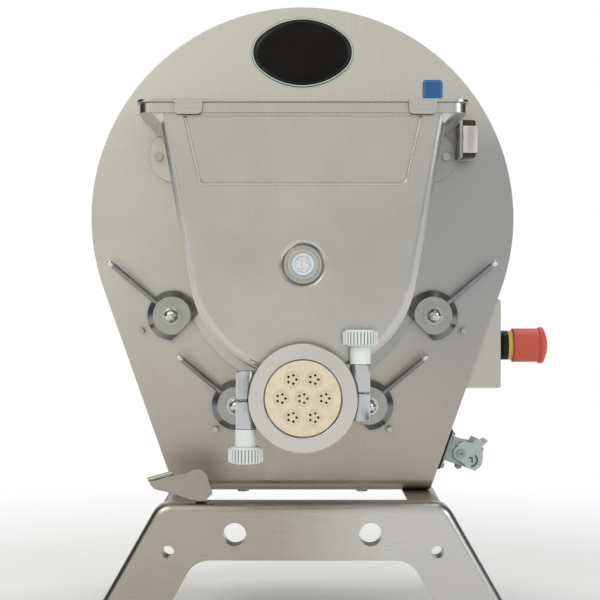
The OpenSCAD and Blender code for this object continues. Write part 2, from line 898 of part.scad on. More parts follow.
module hub_bush() {
    color("lightblue") translate([0, 0, mixer_z])
        ring_y(bush_r, hub_cap_r, tub_y - hub_l - 1.5, tub_y + tub_t + hub_in);
}

module hub_cap() {
    color("silver") translate([0, 0, mixer_z])
        rod_y(hub_cap_r, tub_y - hub_l - 0.8, tub_y - hub_l + 6);
}

// ---- Lid ----

module lid() {
    ear_x0 = rim_w + 5;
    color("gainsboro") {
        difference() {
            union() {
                translate([0, 0, lid_z]) linear_extrude(lid_t) {
                    w = rim_w + 2;
                    translate([-w + rim_r, lid_y0]) square([2 * (w - rim_r), -hinge_y - lid_y0]);
                    translate([-w, lid_y0 + rim_r]) square([2 * w, -hinge_y - lid_y0 - rim_r]);
                    for (s = [-1, 1]) translate([s * (w - rim_r), lid_y0 + rim_r]) corner(rim_r);
                }
                both_sides() block(rim_w, ear_x0 + ear_t, -hinge_y - 16, -hinge_y, lid_z,
                    lid_z + lid_t);
                both_sides() lid_ear(ear_x0);
            }
            both_sides() translate([0, -hinge_y, hinge_z])
                rod_x(hinge_pin_r, ear_x0 - 1, ear_x0 + ear_t + 1);
            for (i = [-7 : 7]) for (row = [0, 1]) translate([i * 13, tub_y + 42 + row * 58, lid_z - 1])
                block(-3.5, 3.5, 0, 46, 0, lid_t + 2);
        }
        for (s = [-1, 1]) translate([s * tab_x + tab_shift, 0, 0]) lid_tab();
    }
}

// Ear that carries one end of the lid on its pin
module lid_ear(x0) {
    r = hinge_pin_r + 4;
    difference() {
        union() {
            block(x0, x0 + ear_t, -hinge_y - r, -hinge_y + r, lid_z, hinge_z);
            translate([0, -hinge_y, hinge_z]) rod_x(r, x0, x0 + ear_t);
        }
        translate([0, -hinge_y, hinge_z]) rod_x(hinge_pin_r, x0 - 1, x0 + ear_t + 1);
    }
}

// Front tab folded down over the rim, with rounded lower corners
module lid_tab() {
    r = 5;
    z0 = rim_z - tab_drop;
    w = tab_w / 2;
    slab_y(lid_y0 - tab_t, lid_y0) {
        translate([-w, z0 + r]) square([tab_w, lid_z + lid_t - z0 - r]);
        translate([r - w, z0]) square([tab_w - 2 * r, r + 1]);
        for (x = [r - w, w - r]) translate([x, z0 + r]) corner(r);
    }
}

module lid_hinge_pins() {
    x0 = rim_w + 5;
    color("silver") both_sides() translate([0, -hinge_y, hinge_z]) {
        rod_x(hinge_pin_r, x0 - 1, x0 + ear_t + bracket_w + 2);
        rod_x(hinge_pin_r + 2, x0 - 3.5, x0 - 0.5);
    }
}

module lid_hinge_brackets() {
    x0 = rim_w + 5 + ear_t + 1;
    r = hinge_pin_r + 3.5;
    color("silver") both_sides() difference() {
        union() {
            block(x0, x0 + bracket_w, -hinge_y, 0, hinge_z - r, hinge_z + r);
            translate([0, -hinge_y, hinge_z]) rod_x(r, x0, x0 + bracket_w);
        }
        translate([0, -hinge_y, hinge_z]) rod_x(hinge_pin_r + run, x0 - 1, x0 + bracket_w + 1);
    }
}

// ---- Lid sensor ----

module sensor_bracket() {
    color("silver") {
        block(sensor_x, sensor_x + 3, -sensor_d, 0, sensor_z0, sensor_z1);
        block(sensor_x + 3, sensor_x + 18, -2, 0, sensor_z0, sensor_z1);
    }
}

module sensor_body() {
    color("black") difference() {
        intersection() {
            translate([sensor_x + 3 + sensor_r, -sensor_d + sensor_r, 0]) union() {
                translate([0, 0, sensor_z0]) cylinder(r = sensor_r, h = sensor_z1 - sensor_z0);
                block(-sensor_r, 0, -sensor_r, sensor_r, sensor_z0, sensor_z1);
            }
            sensor_outline(sensor_z0, sensor_z1, 2 * sensor_r);
        }
        translate([sensor_x + 3 + sensor_r, -sensor_d + sensor_r, sensor_z1 - 4])
            cylinder(r = sensor_r / 2, h = 5);
    }
}

// Block over the sensor's depth between two heights, with round corners away from the tub
module sensor_outline(z0, z1, w) {
    r = sensor_corner;
    x0 = sensor_x + 3;
    x1 = x0 + w;
    slab_y(-sensor_d - 5, -sensor_d + 3 * sensor_r) {
        for (z = [z0 + r, z1 - r]) translate([x1 - r, z]) corner(r);
        polygon([[x0 - 1, z0], [x1 - r, z0], [x1, z0 + r], [x1, z1 - r], [x1 - r, z1],
            [x0 - 1, z1]]);
    }
}

// Bright clip wrapped around the middle of the sensor
module sensor_cover() {
    z0 = sensor_z0 + sensor_low;
    z1 = sensor_z1 - sensor_end;
    w = 2 * sensor_r + sensor_clip;
    color("white") difference() {
        intersection() {
            block(sensor_x + 3, sensor_x + 3 + w, -sensor_d - sensor_clip,
                -sensor_d + 2 * sensor_r + sensor_clip, z0, z1);
            sensor_outline(z0, z1, w);
        }
        translate([sensor_x + 3 + sensor_r, -sensor_d + sensor_r, z0 - 1]) {
            block(-sensor_r - 1, 0, -sensor_r, sensor_r, 0, z1 - z0 + 2);
            cylinder(r = sensor_r, h = z1 - z0 + 2);
        }
    }
}

// ---- Extruder ----

module barrel() {
    color("silver") difference() {
        translate([0, 0, auger_z]) ring_y(barrel_r, bore_r, barrel_y, 0);
        tub_block(tub_t, rim_z);
    }
}

// Collar on the barrel, with four knuckles that stand out beside the ring nut
module clamp_collar() {
    y1 = collar_y + collar_t;
    color("silver") difference() {
        union() {
            translate([0, 0, auger_z]) rod_y(barrel_r + 5.5, collar_y, y1);
            knuckle(-1, left_z + left_gap / 2);
            knuckle(-1, left_z - left_gap / 2 - knuckle_h);
            knuckle(1, right_z + right_gap / 2);
            knuckle(1, right_z - right_gap / 2 - knuckle_h);
        }
        translate([0, 0, auger_z]) {
            rod_y(barrel_r, collar_y - 1, y1 + 1);
            rod_y(neck_ring_r + 2 * gap, ring_y - 1, collar_y);
            rod_y(ring_r + 2 * gap, ring_y - 1, ring_y + flange_d + 2 * gap);
        }
        for (s = [-1, 1]) translate([s * clamp_x, pin_y, 0])
            cylinder(r = clamp_pin_r + run, h = 2 * auger_z);
    }
}

module knuckle(side, z0) {
    translate([side * clamp_x, pin_y, z0]) cylinder(r = knuckle_r, h = knuckle_h);
    x_in = barrel_r - 8;
    block(side > 0 ? x_in : -clamp_x, side > 0 ? clamp_x : -x_in, pin_y, collar_y + collar_t,
        z0, z0 + knuckle_h);
}

// Pin through one pair of knuckles, from the knob's seat to a little past the far knuckle
module clamp_pin(span) {
    cylinder(r = clamp_pin_r, h = span);
    translate([0, 0, span]) intersection() {
        sphere(clamp_pin_r);
        translate([-clamp_pin_r, -clamp_pin_r, 0]) cube(2 * clamp_pin_r);
    }
}

// Ribbed knob with its neck upwards, seated under z = 0
module clamp_knob() {
    ribs = 30;
    core_r = knob_r - 1.9;
    difference() {
        union() {
            translate([0, 0, -neck_h]) cylinder(r = neck_r, h = neck_h - gap);
            translate([0, 0, -neck_h - knob_h]) rotate_extrude() {
                square([core_r - 2, knob_h]);
                translate([0, 2]) square([core_r, knob_h - 4]);
                for (z = [2, knob_h - 2]) translate([core_r - 2, z]) corner(2);
            }
            for (i = [0 : ribs - 1]) rotate(i * 360 / ribs)
                translate([knob_r - 1.2, 0, -neck_h - knob_h + 1.5])
                    cylinder(r = 1.2, h = knob_h - 3);
        }
        translate([0, 0, -neck_h - knob_h / 2]) cylinder(r = clamp_pin_r, h = neck_h + knob_h);
    }
}

module left_clamp_pin() {
    color("silver") translate([-clamp_x, pin_y, left_foot])
        translate([0, 0, -neck_h - knob_h / 2])
            clamp_pin(neck_h + knob_h / 2 + 2 * knuckle_h + left_gap - clamp_pin_r);
}

module left_clamp_knob() {
    color("honeydew") translate([-clamp_x, pin_y, left_foot]) clamp_knob();
}

module right_clamp_pin() {
    color("silver") translate([clamp_x, pin_y, right_top]) mirror([0, 0, 1])
        translate([0, 0, -neck_h - knob_h / 2])
            clamp_pin(neck_h + knob_h / 2 + 2 * knuckle_h + right_gap - clamp_pin_r);
}

module right_clamp_knob() {
    color("honeydew") translate([clamp_x, pin_y, right_top]) mirror([0, 0, 1]) clamp_knob();
}

module at_inserts() {
    translate([0, 0, auger_z]) children();
    for (i = [0 : 5]) translate([insert_ring * cos(60 * i), 0, auger_z + insert_ring * sin(60 * i)])
        children();
}

module die_plate() {
    color("tan") difference() {
        translate([0, 0, auger_z]) {
            rod_y(barrel_r - 2, barrel_y - die_t, barrel_y);
            rod_y(die_boss_r, ring_y + 1.2, barrel_y - die_t);
        }
        at_inserts() rod_y(insert_r, ring_y, barrel_y + 1);
    }
}

// Round inserts, each with a ring of fine holes that shape the dough
module die_inserts() {
    color("burlywood") at_inserts() difference() {
        rod_y(insert_r, ring_y + 1.6, barrel_y);
        for (i = [0 : 4]) translate([insert_r * 0.55 * cos(72 * i), 0, insert_r * 0.55 * sin(72 * i)])
            rod_y(strand_r, ring_y, barrel_y + 1);
    }
}

// Ring nut that holds the die, with holes for a pin spanner round its neck
module die_ring() {
    color("silver") translate([0, 0, auger_z]) difference() {
        rotate([-90, 0, 0]) translate([0, 0, ring_y]) rotate_extrude() polygon([
            [mouth_r + 0.6, 0], [ring_r - 1, 0], [ring_r, 1], [ring_r, flange_d],
            [neck_ring_r, flange_d], [neck_ring_r, ring_d], [barrel_r + run, ring_d],
            [barrel_r + run, lip_t], [mouth_r, lip_t], [mouth_r, 0.6]]);
        for (a = [0 : 90 : 270]) rotate([0, a, 0])
            translate([0, ring_y + ring_d - 7, neck_ring_r - 2]) cylinder(r = 3.5, h = 3);
    }
}

// Helical flight on a core, with a round tail that carries the auger's gear
module auger() {
    l = barrel_d - auger_back - 1;
    color("silver") translate([0, 0, auger_z]) {
        translate([0, -auger_back - 1, 0]) rotate([90, 0, 0])
            linear_extrude(l - 1, twist = -360 * l / pitch, slices = 120, $fn = 8)
                translate([core_r / 2, -flight_t / 2]) square([flight_r - core_r / 2, flight_t]);
        rod_y(core_r, -auger_back - l, -auger_back);
        rod_y(auger_shaft_r, -auger_back, motor_y - 1);
    }
}

module shaft_seals() {
    color("black") {
        translate([0, 0, auger_z]) ring_y(bore_r, auger_shaft_r + run, -seal_t, 0);
        translate([0, 0, mixer_z]) ring_y(mixer_shaft_r + 6, mixer_shaft_r + run, -flange_t, 0);
    }
}

// Shaft across the tub with paddles that stand out to either side in turn
module mixer_shaft() {
    n = 4;
    y0 = tub_y + tub_t + hub_in + gap;
    step = (-y0 - flange_t) / n;
    color("silver") translate([0, 0, mixer_z]) {
        rod_y(mixer_shaft_r, y0, motor_y - 1);
        rod_y(hub_cap_r - run, tub_y - hub_l + 6 + gap, y0);
        for (i = [0 : n - 1]) rotate([0, i % 2 * 180, 0]) translate([0, y0 + (i + 0.5) * step, 0]) {
            rod_x(paddle_r, 0, paddle_reach - 10);
            translate([paddle_reach - 22, -step * 0.42, -paddle_t / 2])
                cube([20, step * 0.84, paddle_t]);
        }
    }
}

// ---- Cam locks ----

module at_cam(side, low) {
    mirror([side > 0 ? 1 : 0, 0, 0])
        translate([-(low ? low_cam_x : cam_x), cam_y, low ? low_cam_z : cam_z]) children();
}

// Disc with a wide chamfer, cut flat on its lower inner side, on a boss that turns on the stud
module cam_lock(reach) {
    difference() {
        union() {
            difference() {
                rotate([90, 0, 0]) rotate_extrude() polygon([[0, 0], [cam_r, 0], [cam_r, 3],
                    [cam_face_r, cam_t], [0, cam_t]]);
                rotate([0, 45, 0]) block(cam_flat, 2 * cam_r, -cam_t - 1, 1, -cam_r, cam_r);
            }
            rod_y(stud_r + 5, 0, -cam_y - gap);
            rotate([0, lever_a, 0]) translate([-cam_r * 0.6, -cam_t / 2, 0])
                rotate([0, 0, lever_tilt]) lever_rod(reach - cam_r * 0.6);
        }
        rod_y(stud_r + run, -cam_t - 1, -cam_y + 1);
    }
}

module lever_rod(l) {
    rod_x(lever_r, -l, 0);
    translate([-l, 0, 0]) sphere(lever_r);
}

module cam_upper_left() {
    color("silver") at_cam(-1, false) cam_lock(lever_l);
}

module cam_upper_right() {
    color("silver") at_cam(1, false) cam_lock(lever_l);
}

module cam_lower_left() {
    color("silver") at_cam(-1, true) cam_lock(low_lever_l);
}

module cam_lower_right() {
    color("silver") at_cam(1, true) cam_lock(low_lever_l);
}

module cam_studs() {
    color("silver") at_cams() {
        rod_y(stud_r, nut_y - 5, plate_t);
        rod_y(stud_r + 4, plate_t, plate_t + 6);
    }
}

// Acorn nuts with their washers
module cam_nuts() {
    y0 = nut_y - washer_t;
    color("silver") at_cams() difference() {
        union() {
            rod_y(stud_r * 2.1, y0, nut_y);
            translate([0, y0, 0]) rotate([90, 0, 0]) cylinder(r = stud_r * 1.96, h = 8, $fn = 6);
            translate([0, y0 - 7, 0]) sphere(stud_r * 1.6);
        }
        rod_y(stud_r, nut_y - 5, nut_y + 1);
    }
}

// ---- Drive ----

function inv(a) = tan(a) * 180 / PI - a;

// Outline of a gear with teeth that follow an involute at four radii, one tooth on +x
module gear_outline(teeth, bore) {
    rp = gear_m * teeth / 2;
    rb = rp * cos(20);
    radii = [rp - 1.25 * gear_m, rp - 0.4 * gear_m, rp + 0.3 * gear_m, rp + gear_m];
    half = [for (r = radii) 90 / teeth - backlash / rp * 28.6 + inv(20)
        - inv(acos(min(1, rb / max(r, rb))))];
    difference() {
        polygon([for (i = [0 : teeth - 1]) for (k = [0 : 7])
            let (j = k < 4 ? k : 7 - k, a = 360 * i / teeth + (k < 4 ? -half[j] : half[j]))
            radii[j] * [cos(a), sin(a)]]);
        circle(bore);
    }
}

module auger_gear() {
    color("slategray") translate([0, 0, auger_z]) difference() {
        slab_y(gear_y, gear_y + gear_w) rotate(90) gear_outline(auger_teeth, auger_shaft_r);
        for (a = [0 : 60 : 300]) rotate([0, a, 0]) translate([gear_m * auger_teeth * 0.31, 0, 0])
            rod_y(9, gear_y - 1, gear_y + gear_w + 1);
    }
}

module mixer_gear() {
    color("slategray") translate([0, 0, mixer_z])
        slab_y(gear_y, gear_y + gear_w) rotate(270 + 180 / mixer_teeth)
            gear_outline(mixer_teeth, mixer_shaft_r);
}

// Motor shaft with its rotor and a pinion cut on the front end
module motor_rotor() {
    phase = motor_a + 180 + 180 / pinion_teeth - (90 - motor_a) * auger_teeth / pinion_teeth;
    color("gray") translate([motor_x, 0, motor_z]) {
        slab_y(gear_y - 1, gear_y + gear_w + 1) rotate(phase) gear_outline(pinion_teeth, 8);
        rod_y(motor_shaft_r, gear_y - 1, motor_y + motor_l + fan_l - 4);
        rod_y(motor_r - stator_wall - air_gap, motor_y + 18, motor_y + motor_l - 18);
    }
}

module motor_housing() {
    end = motor_y + motor_l;
    color("steelblue") translate([motor_x, 0, motor_z]) {
        difference() {
            union() {
                rod_y(motor_r, motor_y, motor_y + 9);
                rod_y(motor_r - 6, motor_y, end);
                for (a = [0 : 15 : 345]) rotate([0, a, 0])
                    block(motor_r - 8, motor_r - 0.5, motor_y + 8, end - 12, -1, 1);
            }
            rod_y(motor_r - stator_wall, motor_y + 10, end - 10);
            rod_y(motor_shaft_r + run, motor_y - 1, end + 1);
        }
        difference() {
            rod_y(motor_r - 4, end - 8, end + fan_l);
            rod_y(motor_r - 6, end - 9, end + fan_l - 2);
            for (a = [0 : 30 : 330]) rotate([0, a, 0]) translate([motor_r * 0.5, 0, 0])
                rod_y(6, end, end + fan_l + 1);
        }
    }
}

module motor_fan() {
    end = motor_y + motor_l;
    color("white") translate([motor_x, 0, motor_z]) {
        ring_y(motor_shaft_r + 6, motor_shaft_r, end + 6, end + fan_l - 6);
        ring_y(motor_r - 12, motor_shaft_r + 5, end + 6, end + 8);
        for (a = [0 : 45 : 315]) rotate([0, a, 0])
            block(motor_shaft_r + 4, motor_r - 12, end + 7, end + fan_l - 8, -1, 1);
    }
}

module gearbox_front_plate() {
    color("darkgray") difference() {
        union() {
            block(-box_w, box_w, plate_t, plate_t + box_t, base_z + casing_t, mixer_z + 45);
            block(-box_w, box_w, plate_t + box_t, plate_t + box_t + 16, base_z + casing_t,
                base_z + casing_t + 8);
            at_columns() rod_y(8, plate_t + box_t, box_rear_y);
        }
        block(-box_w - 1, box_w + 1, 0, bend_r + gap, base_z, base_z + bend_r + gap);
        bearing_bores(plate_t - 1, plate_t + box_t + 1);
        at_cams() rod_y(stud_r + 4, 0, plate_t + 6);
        at_stops() rod_y(stop_r + 1, 0, plate_t + 1);
        at_box_screws() cylinder(r = box_screw_r, h = casing_t * 2 + 10);
    }
}

module gearbox_rear_plate() {
    color("darkgray") difference() {
        union() {
            block(-box_w, box_w, box_rear_y, motor_y, auger_z - 100, mixer_z + 45);
            translate([motor_x, 0, motor_z]) rod_y(motor_r, box_rear_y, motor_y);
        }
        bearing_bores(box_rear_y - 1, motor_y + 1);
        translate([motor_x, 0, motor_z]) rod_y(motor_shaft_r + 6, box_rear_y - 1, motor_y + 1);
    }
}

module at_columns() {
    for (s = [-1, 1]) {
        translate([s * (box_w - 12), 0, auger_z - 86]) children();
        translate([s * (box_w - 12), 0, mixer_z + 33]) children();
    }
}

module bearing_bores(y0, y1) {
    translate([0, 0, auger_z]) rod_y(auger_shaft_r + 16, y0, y1);
    translate([0, 0, mixer_z]) rod_y(mixer_shaft_r + 14, y0, y1);
}

module shaft_bearings() {
    color("silver") for (y = [plate_t, box_rear_y]) {
        translate([0, 0, auger_z])
            ring_y(auger_shaft_r + 16, auger_shaft_r + run, y, y + box_t);
        translate([0, 0, mixer_z])
            ring_y(mixer_shaft_r + 14, mixer_shaft_r + run, y, y + box_t);
    }
}

module electrical_box() {
    color("dimgray") difference() {
        block(elec_x, elec_x + elec_w, elec_y0, elec_y1, base_z + casing_t,
            base_z + casing_t + elec_h);
        block(elec_x - 1, elec_x + 1.5, elec_y0 + 5, elec_y1 - 5, base_z + 20, base_z + 110);
    }
}

// ---- Controls ----

// Sheet box on the slanted side, with an upright face for the buttons
module control_box() {
    y1 = ctrl_y0 + ctrl_d;
    color("silver") difference() {
        slab_y(ctrl_y0, y1) ctrl_outline(0);
        slab_y(ctrl_y0 + ctrl_t, y1 - ctrl_t) ctrl_hollow();
        translate([0, stop_y, button_z]) rod_x(stem_r + run, ctrl_x - 9, ctrl_x + 1);
        translate([0, start_y, button_z]) rod_x(start_r + run, ctrl_x - 9, ctrl_x + 1);
        translate([0, selector_y, button_z]) rod_x(selector_stem_r + run, ctrl_x - 9, ctrl_x + 1);
    }
}

module ctrl_outline(inset) {
    r = 3;
    top = ctrl_z + ctrl_h;
    for (z = [ctrl_z + r, top - r]) translate([ctrl_x - r, z]) corner(r);
    polygon([[body_x(ctrl_z, casing_gap), ctrl_z], [ctrl_x - r, ctrl_z], [ctrl_x, ctrl_z + r],
        [ctrl_x, top - r], [ctrl_x - r, top], [body_x(top, casing_gap), top]]);
}

module ctrl_hollow() {
    z0 = ctrl_z + ctrl_t;
    z1 = ctrl_z + ctrl_h - 28;
    x1 = ctrl_x - ctrl_t;
    polygon([[body_x(z0, casing_gap) + ctrl_t, z0], [x1, z0], [x1, z1],
        [body_x(z1, casing_gap) + ctrl_t, z1]]);
}

// Black rings around the buttons
module control_bezels() {
    color("black") translate([ctrl_x, 0, button_z]) {
        translate([0, stop_y, 0]) ring_x(collar_r, stem_r + run, 6.6, 12.2);
        translate([0, start_y, 0]) ring_x(start_r + 3.5, start_r + run, 0, bezel_t);
        translate([0, selector_y, 0]) ring_x(selector_r + 1.5, selector_stem_r + run, 0, bezel_t);
    }
}

module ring_x(r_out, r_in, x0, x1) {
    difference() {
        rod_x(r_out, x0, x1);
        rod_x(r_in, x0 - 1, x1 + 1);
    }
}

module stop_collar() {
    color("gold") translate([ctrl_x, stop_y, button_z]) {
        ring_x(collar_r, stem_r + run, 0, 6.6);
        ring_x(collar_r, stem_r + run, 12.2, 17.4);
    }
}

// Red head with a skirt that slides over the collar, a flared rim and a domed end
module stop_button() {
    l = stop_head_l;
    rim = stop_head_r + 1.7;
    color("red") translate([stop_x, stop_y, button_z]) {
        rod_x(stem_r, ctrl_x - 13 - stop_x, 10);
        rotate([0, 90, 0]) rotate_extrude() difference() {
            union() {
                square([stop_head_r, l - 8]);
                translate([rim - 4, l - 8]) circle(4);
                intersection() {
                    translate([0, l - 34]) circle(34);
                    translate([0, l - 9]) square([rim - 4, 9]);
                }
            }
            translate([-1, -1]) square([collar_r + gap + 1, stop_travel + 4]);
        }
    }
}

module start_button() {
    color("green") translate([ctrl_x, start_y, button_z]) {
        rod_x(start_r, -8, bezel_t + start_travel);
        rod_x(start_r / 2, -14, -8);
    }
}

module selector_knob() {
    color("black") translate([ctrl_x, selector_y, button_z]) {
        rod_x(selector_stem_r, -16, bezel_t + gap);
        rod_x(selector_r, bezel_t + gap, bezel_t + gap + 3);
        block(bezel_t + gap + 2, bezel_t + 10, -3, 3, -selector_r + 0.5, selector_r - 0.5);
    }
}

// ---- Socket ----

// Local frame of the socket: x out of the slanted side, z up along it
module on_side() {
    translate([body_x(socket_z, casing_gap), socket_y, socket_z]) rotate([0, side_a, 0])
        children();
}

module socket_gasket() {
    h = socket_w / 2;
    color("darkslategray") on_side() block(0, socket_gasket_t, -h, h, -h, h);
}

module socket_housing() {
    h = socket_w / 2 - 1.5;
    color("slategray") on_side() difference() {
        union() {
            block(socket_gasket_t, socket_base_t, -h, h, -h, h);
            block(socket_base_t, housing_u, -16, 16, housing_low, housing_top);
            block(cover_px - 2.5, housing_u, -6, 6, cover_pz, housing_low);
            translate([cover_px, 0, cover_pz]) rod_y(2.5 - tuck, -6, 6);
            translate([socket_px, 0, socket_pz]) rod_y(3, -18.8, 18.8);
            for (s = [-1, 1]) translate([socket_px, s * 19.8, socket_pz]) rod_y(4.2, -1, 1);
        }
        block(12, housing_u + 1, -11, 11, housing_low + 4, housing_top - 5);
        translate([cover_px, 0, cover_pz]) rod_y(cover_pin_r + run, -7, 7);
        for (s = [-1, 1]) translate([socket_px, s * 20.4, socket_pz]) rod_y(1.8, -0.6, 0.6);
    }
}

// Spring cover on the pin under the housing
module socket_cover() {
    u0 = housing_u + 0.4;
    color("slategray") on_side() {
        difference() {
            block(u0, 45, -16, 16, housing_low + 0.5, housing_top);
            block(u0 - 1, u0 + 4, -12, 12, housing_low + 4, housing_top - 4);
        }
        translate([cover_px, 0, cover_pz]) {
            rod_y(cover_pin_r, -8.4, 8.4);
            both_ends() {
                rod_y(cover_ear_r, 6.3, 8.4);
                block(u0 - cover_px, 3.6, 6.3, 8.4, -1, 6);
            }
        }
    }
}

module both_ends() {
    children();
    mirror([0, 1, 0]) children();
}

// Locking lever: a cheek on each side of the housing and a finger bar over the cover
module socket_lever() {
    color("slategray") on_side() {
        both_ends() difference() {
            slab_y(16.5, 18.5) {
                translate([socket_px, socket_pz]) circle(8.2);
                translate([socket_px + 2, socket_pz + 6]) circle(8);
                polygon([[22.5, -6.5], [29.4, -8.5], [34.4, -11.2], [42.5, -11.8], [46.9, -6.8],
                    [48.4, -2.9], [47.5, 4.7], [45.4, 9.6], [42.7, 13.2], [43.1, 18.4],
                    [44.8, 20.7], [38.6, 21.4], [32, 21.9], [31.2, 16.8], [25.8, 15.4], [20, 6]]);
            }
            translate([socket_px, 0, socket_pz]) rod_y(3 + run, 16, 19);
            slab_y(16, 19) polygon([[32.5, -0.6], [32.5, 0.9], [36.2, 1.9], [38.6, -4],
                [37.2, -4.6], [34.9, -0.2]]);
            difference() {
                translate([slot_u, 0, slot_v]) rod_y(8, 16, 19);
                translate([slot_u, 0, slot_v]) rod_y(5.4, 15, 20);
                block(20, slot_u + 2.5, 15, 20, -12, 9);
            }
        }
        slab_y(-18.5, 18.5) polygon([[38.8, 18.5], [42.9, 18.5], [46.7, 24.2], [46, 24.6],
            [42.6, 21], [38.8, 21]]);
    }
}

module cable_gland() {
    y0 = casing_d + cover_t;
    color("black") translate([gland_x, 0, gland_z]) difference() {
        union() {
            rod_y(gland_r, casing_d - 8, y0 + 12);
            translate([0, y0, 0]) rotate([-90, 0, 0]) cylinder(r = gland_r * 1.6, h = 6, $fn = 6);
            rod_y(gland_r * 1.4, y0 + 6, y0 + 18);
            translate([0, casing_d - 5, 0]) rotate([-90, 0, 0])
                cylinder(r = gland_r * 1.6, h = 5, $fn = 6);
        }
        rod_y(cable_r, casing_d - 9, y0 + 19);
    }
}

front_plate();
casing_shell();
rear_cover();
screws_and_bolts();
badge();
stand_front_frame();
stand_rear_frame();
stand_left_rail();
stand_right_rail();
stand_feet();
stand_lever();
mixing_tub();
tub_flange();
plate_pins();
hub_bush();
hub_cap();
lid();
lid_hinge_pins();
lid_hinge_brackets();
sensor_bracket();
sensor_body();
sensor_cover();
barrel();
clamp_collar();
left_clamp_pin();
left_clamp_knob();
right_clamp_pin();
right_clamp_knob();
die_plate();
die_inserts();
die_ring();
auger();
shaft_seals();
mixer_shaft();
cam_upper_left();
cam_upper_right();
cam_lower_left();
cam_lower_right();
cam_studs();
cam_nuts();
gearbox_front_plate();
gearbox_rear_plate();
shaft_bearings();
auger_gear();
mixer_gear();
motor_rotor();
motor_housing();
motor_fan();
electrical_box();
control_box();
control_bezels();
stop_collar();
stop_button();
start_button();
selector_knob();
socket_gasket();
socket_housing();
socket_cover();
socket_lever();
cable_gland();
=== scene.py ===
"""Electric pasta maker: finishes, trim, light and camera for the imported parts."""

import json
import math

import bpy
import numpy as np
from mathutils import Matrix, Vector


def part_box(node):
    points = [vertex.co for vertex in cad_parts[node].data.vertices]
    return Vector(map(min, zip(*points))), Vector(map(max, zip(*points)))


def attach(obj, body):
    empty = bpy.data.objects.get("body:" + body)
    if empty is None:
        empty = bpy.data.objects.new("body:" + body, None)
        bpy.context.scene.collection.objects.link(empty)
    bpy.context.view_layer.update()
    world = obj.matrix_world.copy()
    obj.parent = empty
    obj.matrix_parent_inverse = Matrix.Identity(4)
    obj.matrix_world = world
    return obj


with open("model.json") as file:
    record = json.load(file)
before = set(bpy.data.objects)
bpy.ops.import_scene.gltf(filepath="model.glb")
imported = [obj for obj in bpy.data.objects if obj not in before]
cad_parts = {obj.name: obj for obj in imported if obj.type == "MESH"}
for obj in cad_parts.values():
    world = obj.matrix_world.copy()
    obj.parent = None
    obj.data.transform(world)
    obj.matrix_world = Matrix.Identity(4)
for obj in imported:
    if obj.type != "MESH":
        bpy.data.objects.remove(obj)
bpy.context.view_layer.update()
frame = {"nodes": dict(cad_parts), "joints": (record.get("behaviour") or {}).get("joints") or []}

bl_info = {
    "name": "Electric pasta maker",
    "version": (1, 0, 0),
    "blender": (4, 5, 0),
    "location": "View3D > Sidebar > Pasta maker",
    "description": "Finishes, trim, light and camera for the parts of a bench pasta extruder",
    "category": "Object",
}

NODES = frame["nodes"]
MM = 0.001
X, Y, Z = range(3)
MACHINE = "machine"
JOINTS = {joint["name"]: joint for joint in frame["joints"]}


def lowest(node, axis):
    """Low side of a part at rest along an axis, in millimetres."""
    return round(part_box(node)[0][axis] / MM, 3)


def highest(node, axis):
    """High side of a part at rest along an axis, in millimetres."""
    return round(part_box(node)[1][axis] / MM, 3)


def halfway(node, axis):
    """Middle of a part at rest along an axis, in millimetres."""
    return (lowest(node, axis) + highest(node, axis)) / 2.0


# Places that the frame gives, in millimetres
MIXER_Z = halfway("hub_bush", Z)
AUGER_Z = halfway("die_ring", Z)
FLANGE_Y = lowest("tub_flange", Y)
BADGE_Z = halfway("badge", Z)
STAND_Z = highest("stand_left_rail", Z)
STAND_FRONT_Y = lowest("stand_left_rail", Y)
STAND_REAR_Y = highest("stand_left_rail", Y)
RAIL_DROP = STAND_Z - lowest("stand_left_rail", Z)

# Sizes that the parts have too, in millimetres
TUB_Y = -195.0
TUB_R = 110.5
TUB_FLARE = math.radians(10.3)
RIM_LOW_Z = 551.2
STAND_SPLAY = math.radians(29.7)
RAIL_X = 142.2
CAM_REACH = {"upper": 89.0, "lower": 83.0}

# Places of the trim and of the finishes' bands, in millimetres
STICKER_X, STICKER_Z = 143.0, 603.0
LENS_BACK_Y = -0.9
ROOT_START = math.radians(-70.5)
COLLAR_BLACK_X = 228.0
CAM_FACE_R = 20.3
PANEL_LOW_Z, PANEL_TOP_Z = 483.0, 547.5
PANEL_HALF = 98.6
PANEL_CORNER = 6.0
PANEL_FLARE = math.radians(12.8)

FORWARD = np.array([0.0, -1.0, 0.0])
WHITE = (1.0, 1.0, 1.0)


# ---- Colours ----


def grey(level):
    return (level, level, level)


def toned(colour, factor):
    """A colour lighter or darker by a factor."""
    return tuple(min(1.0, c * factor) for c in colour[:3])


# ---- Shader helpers ----


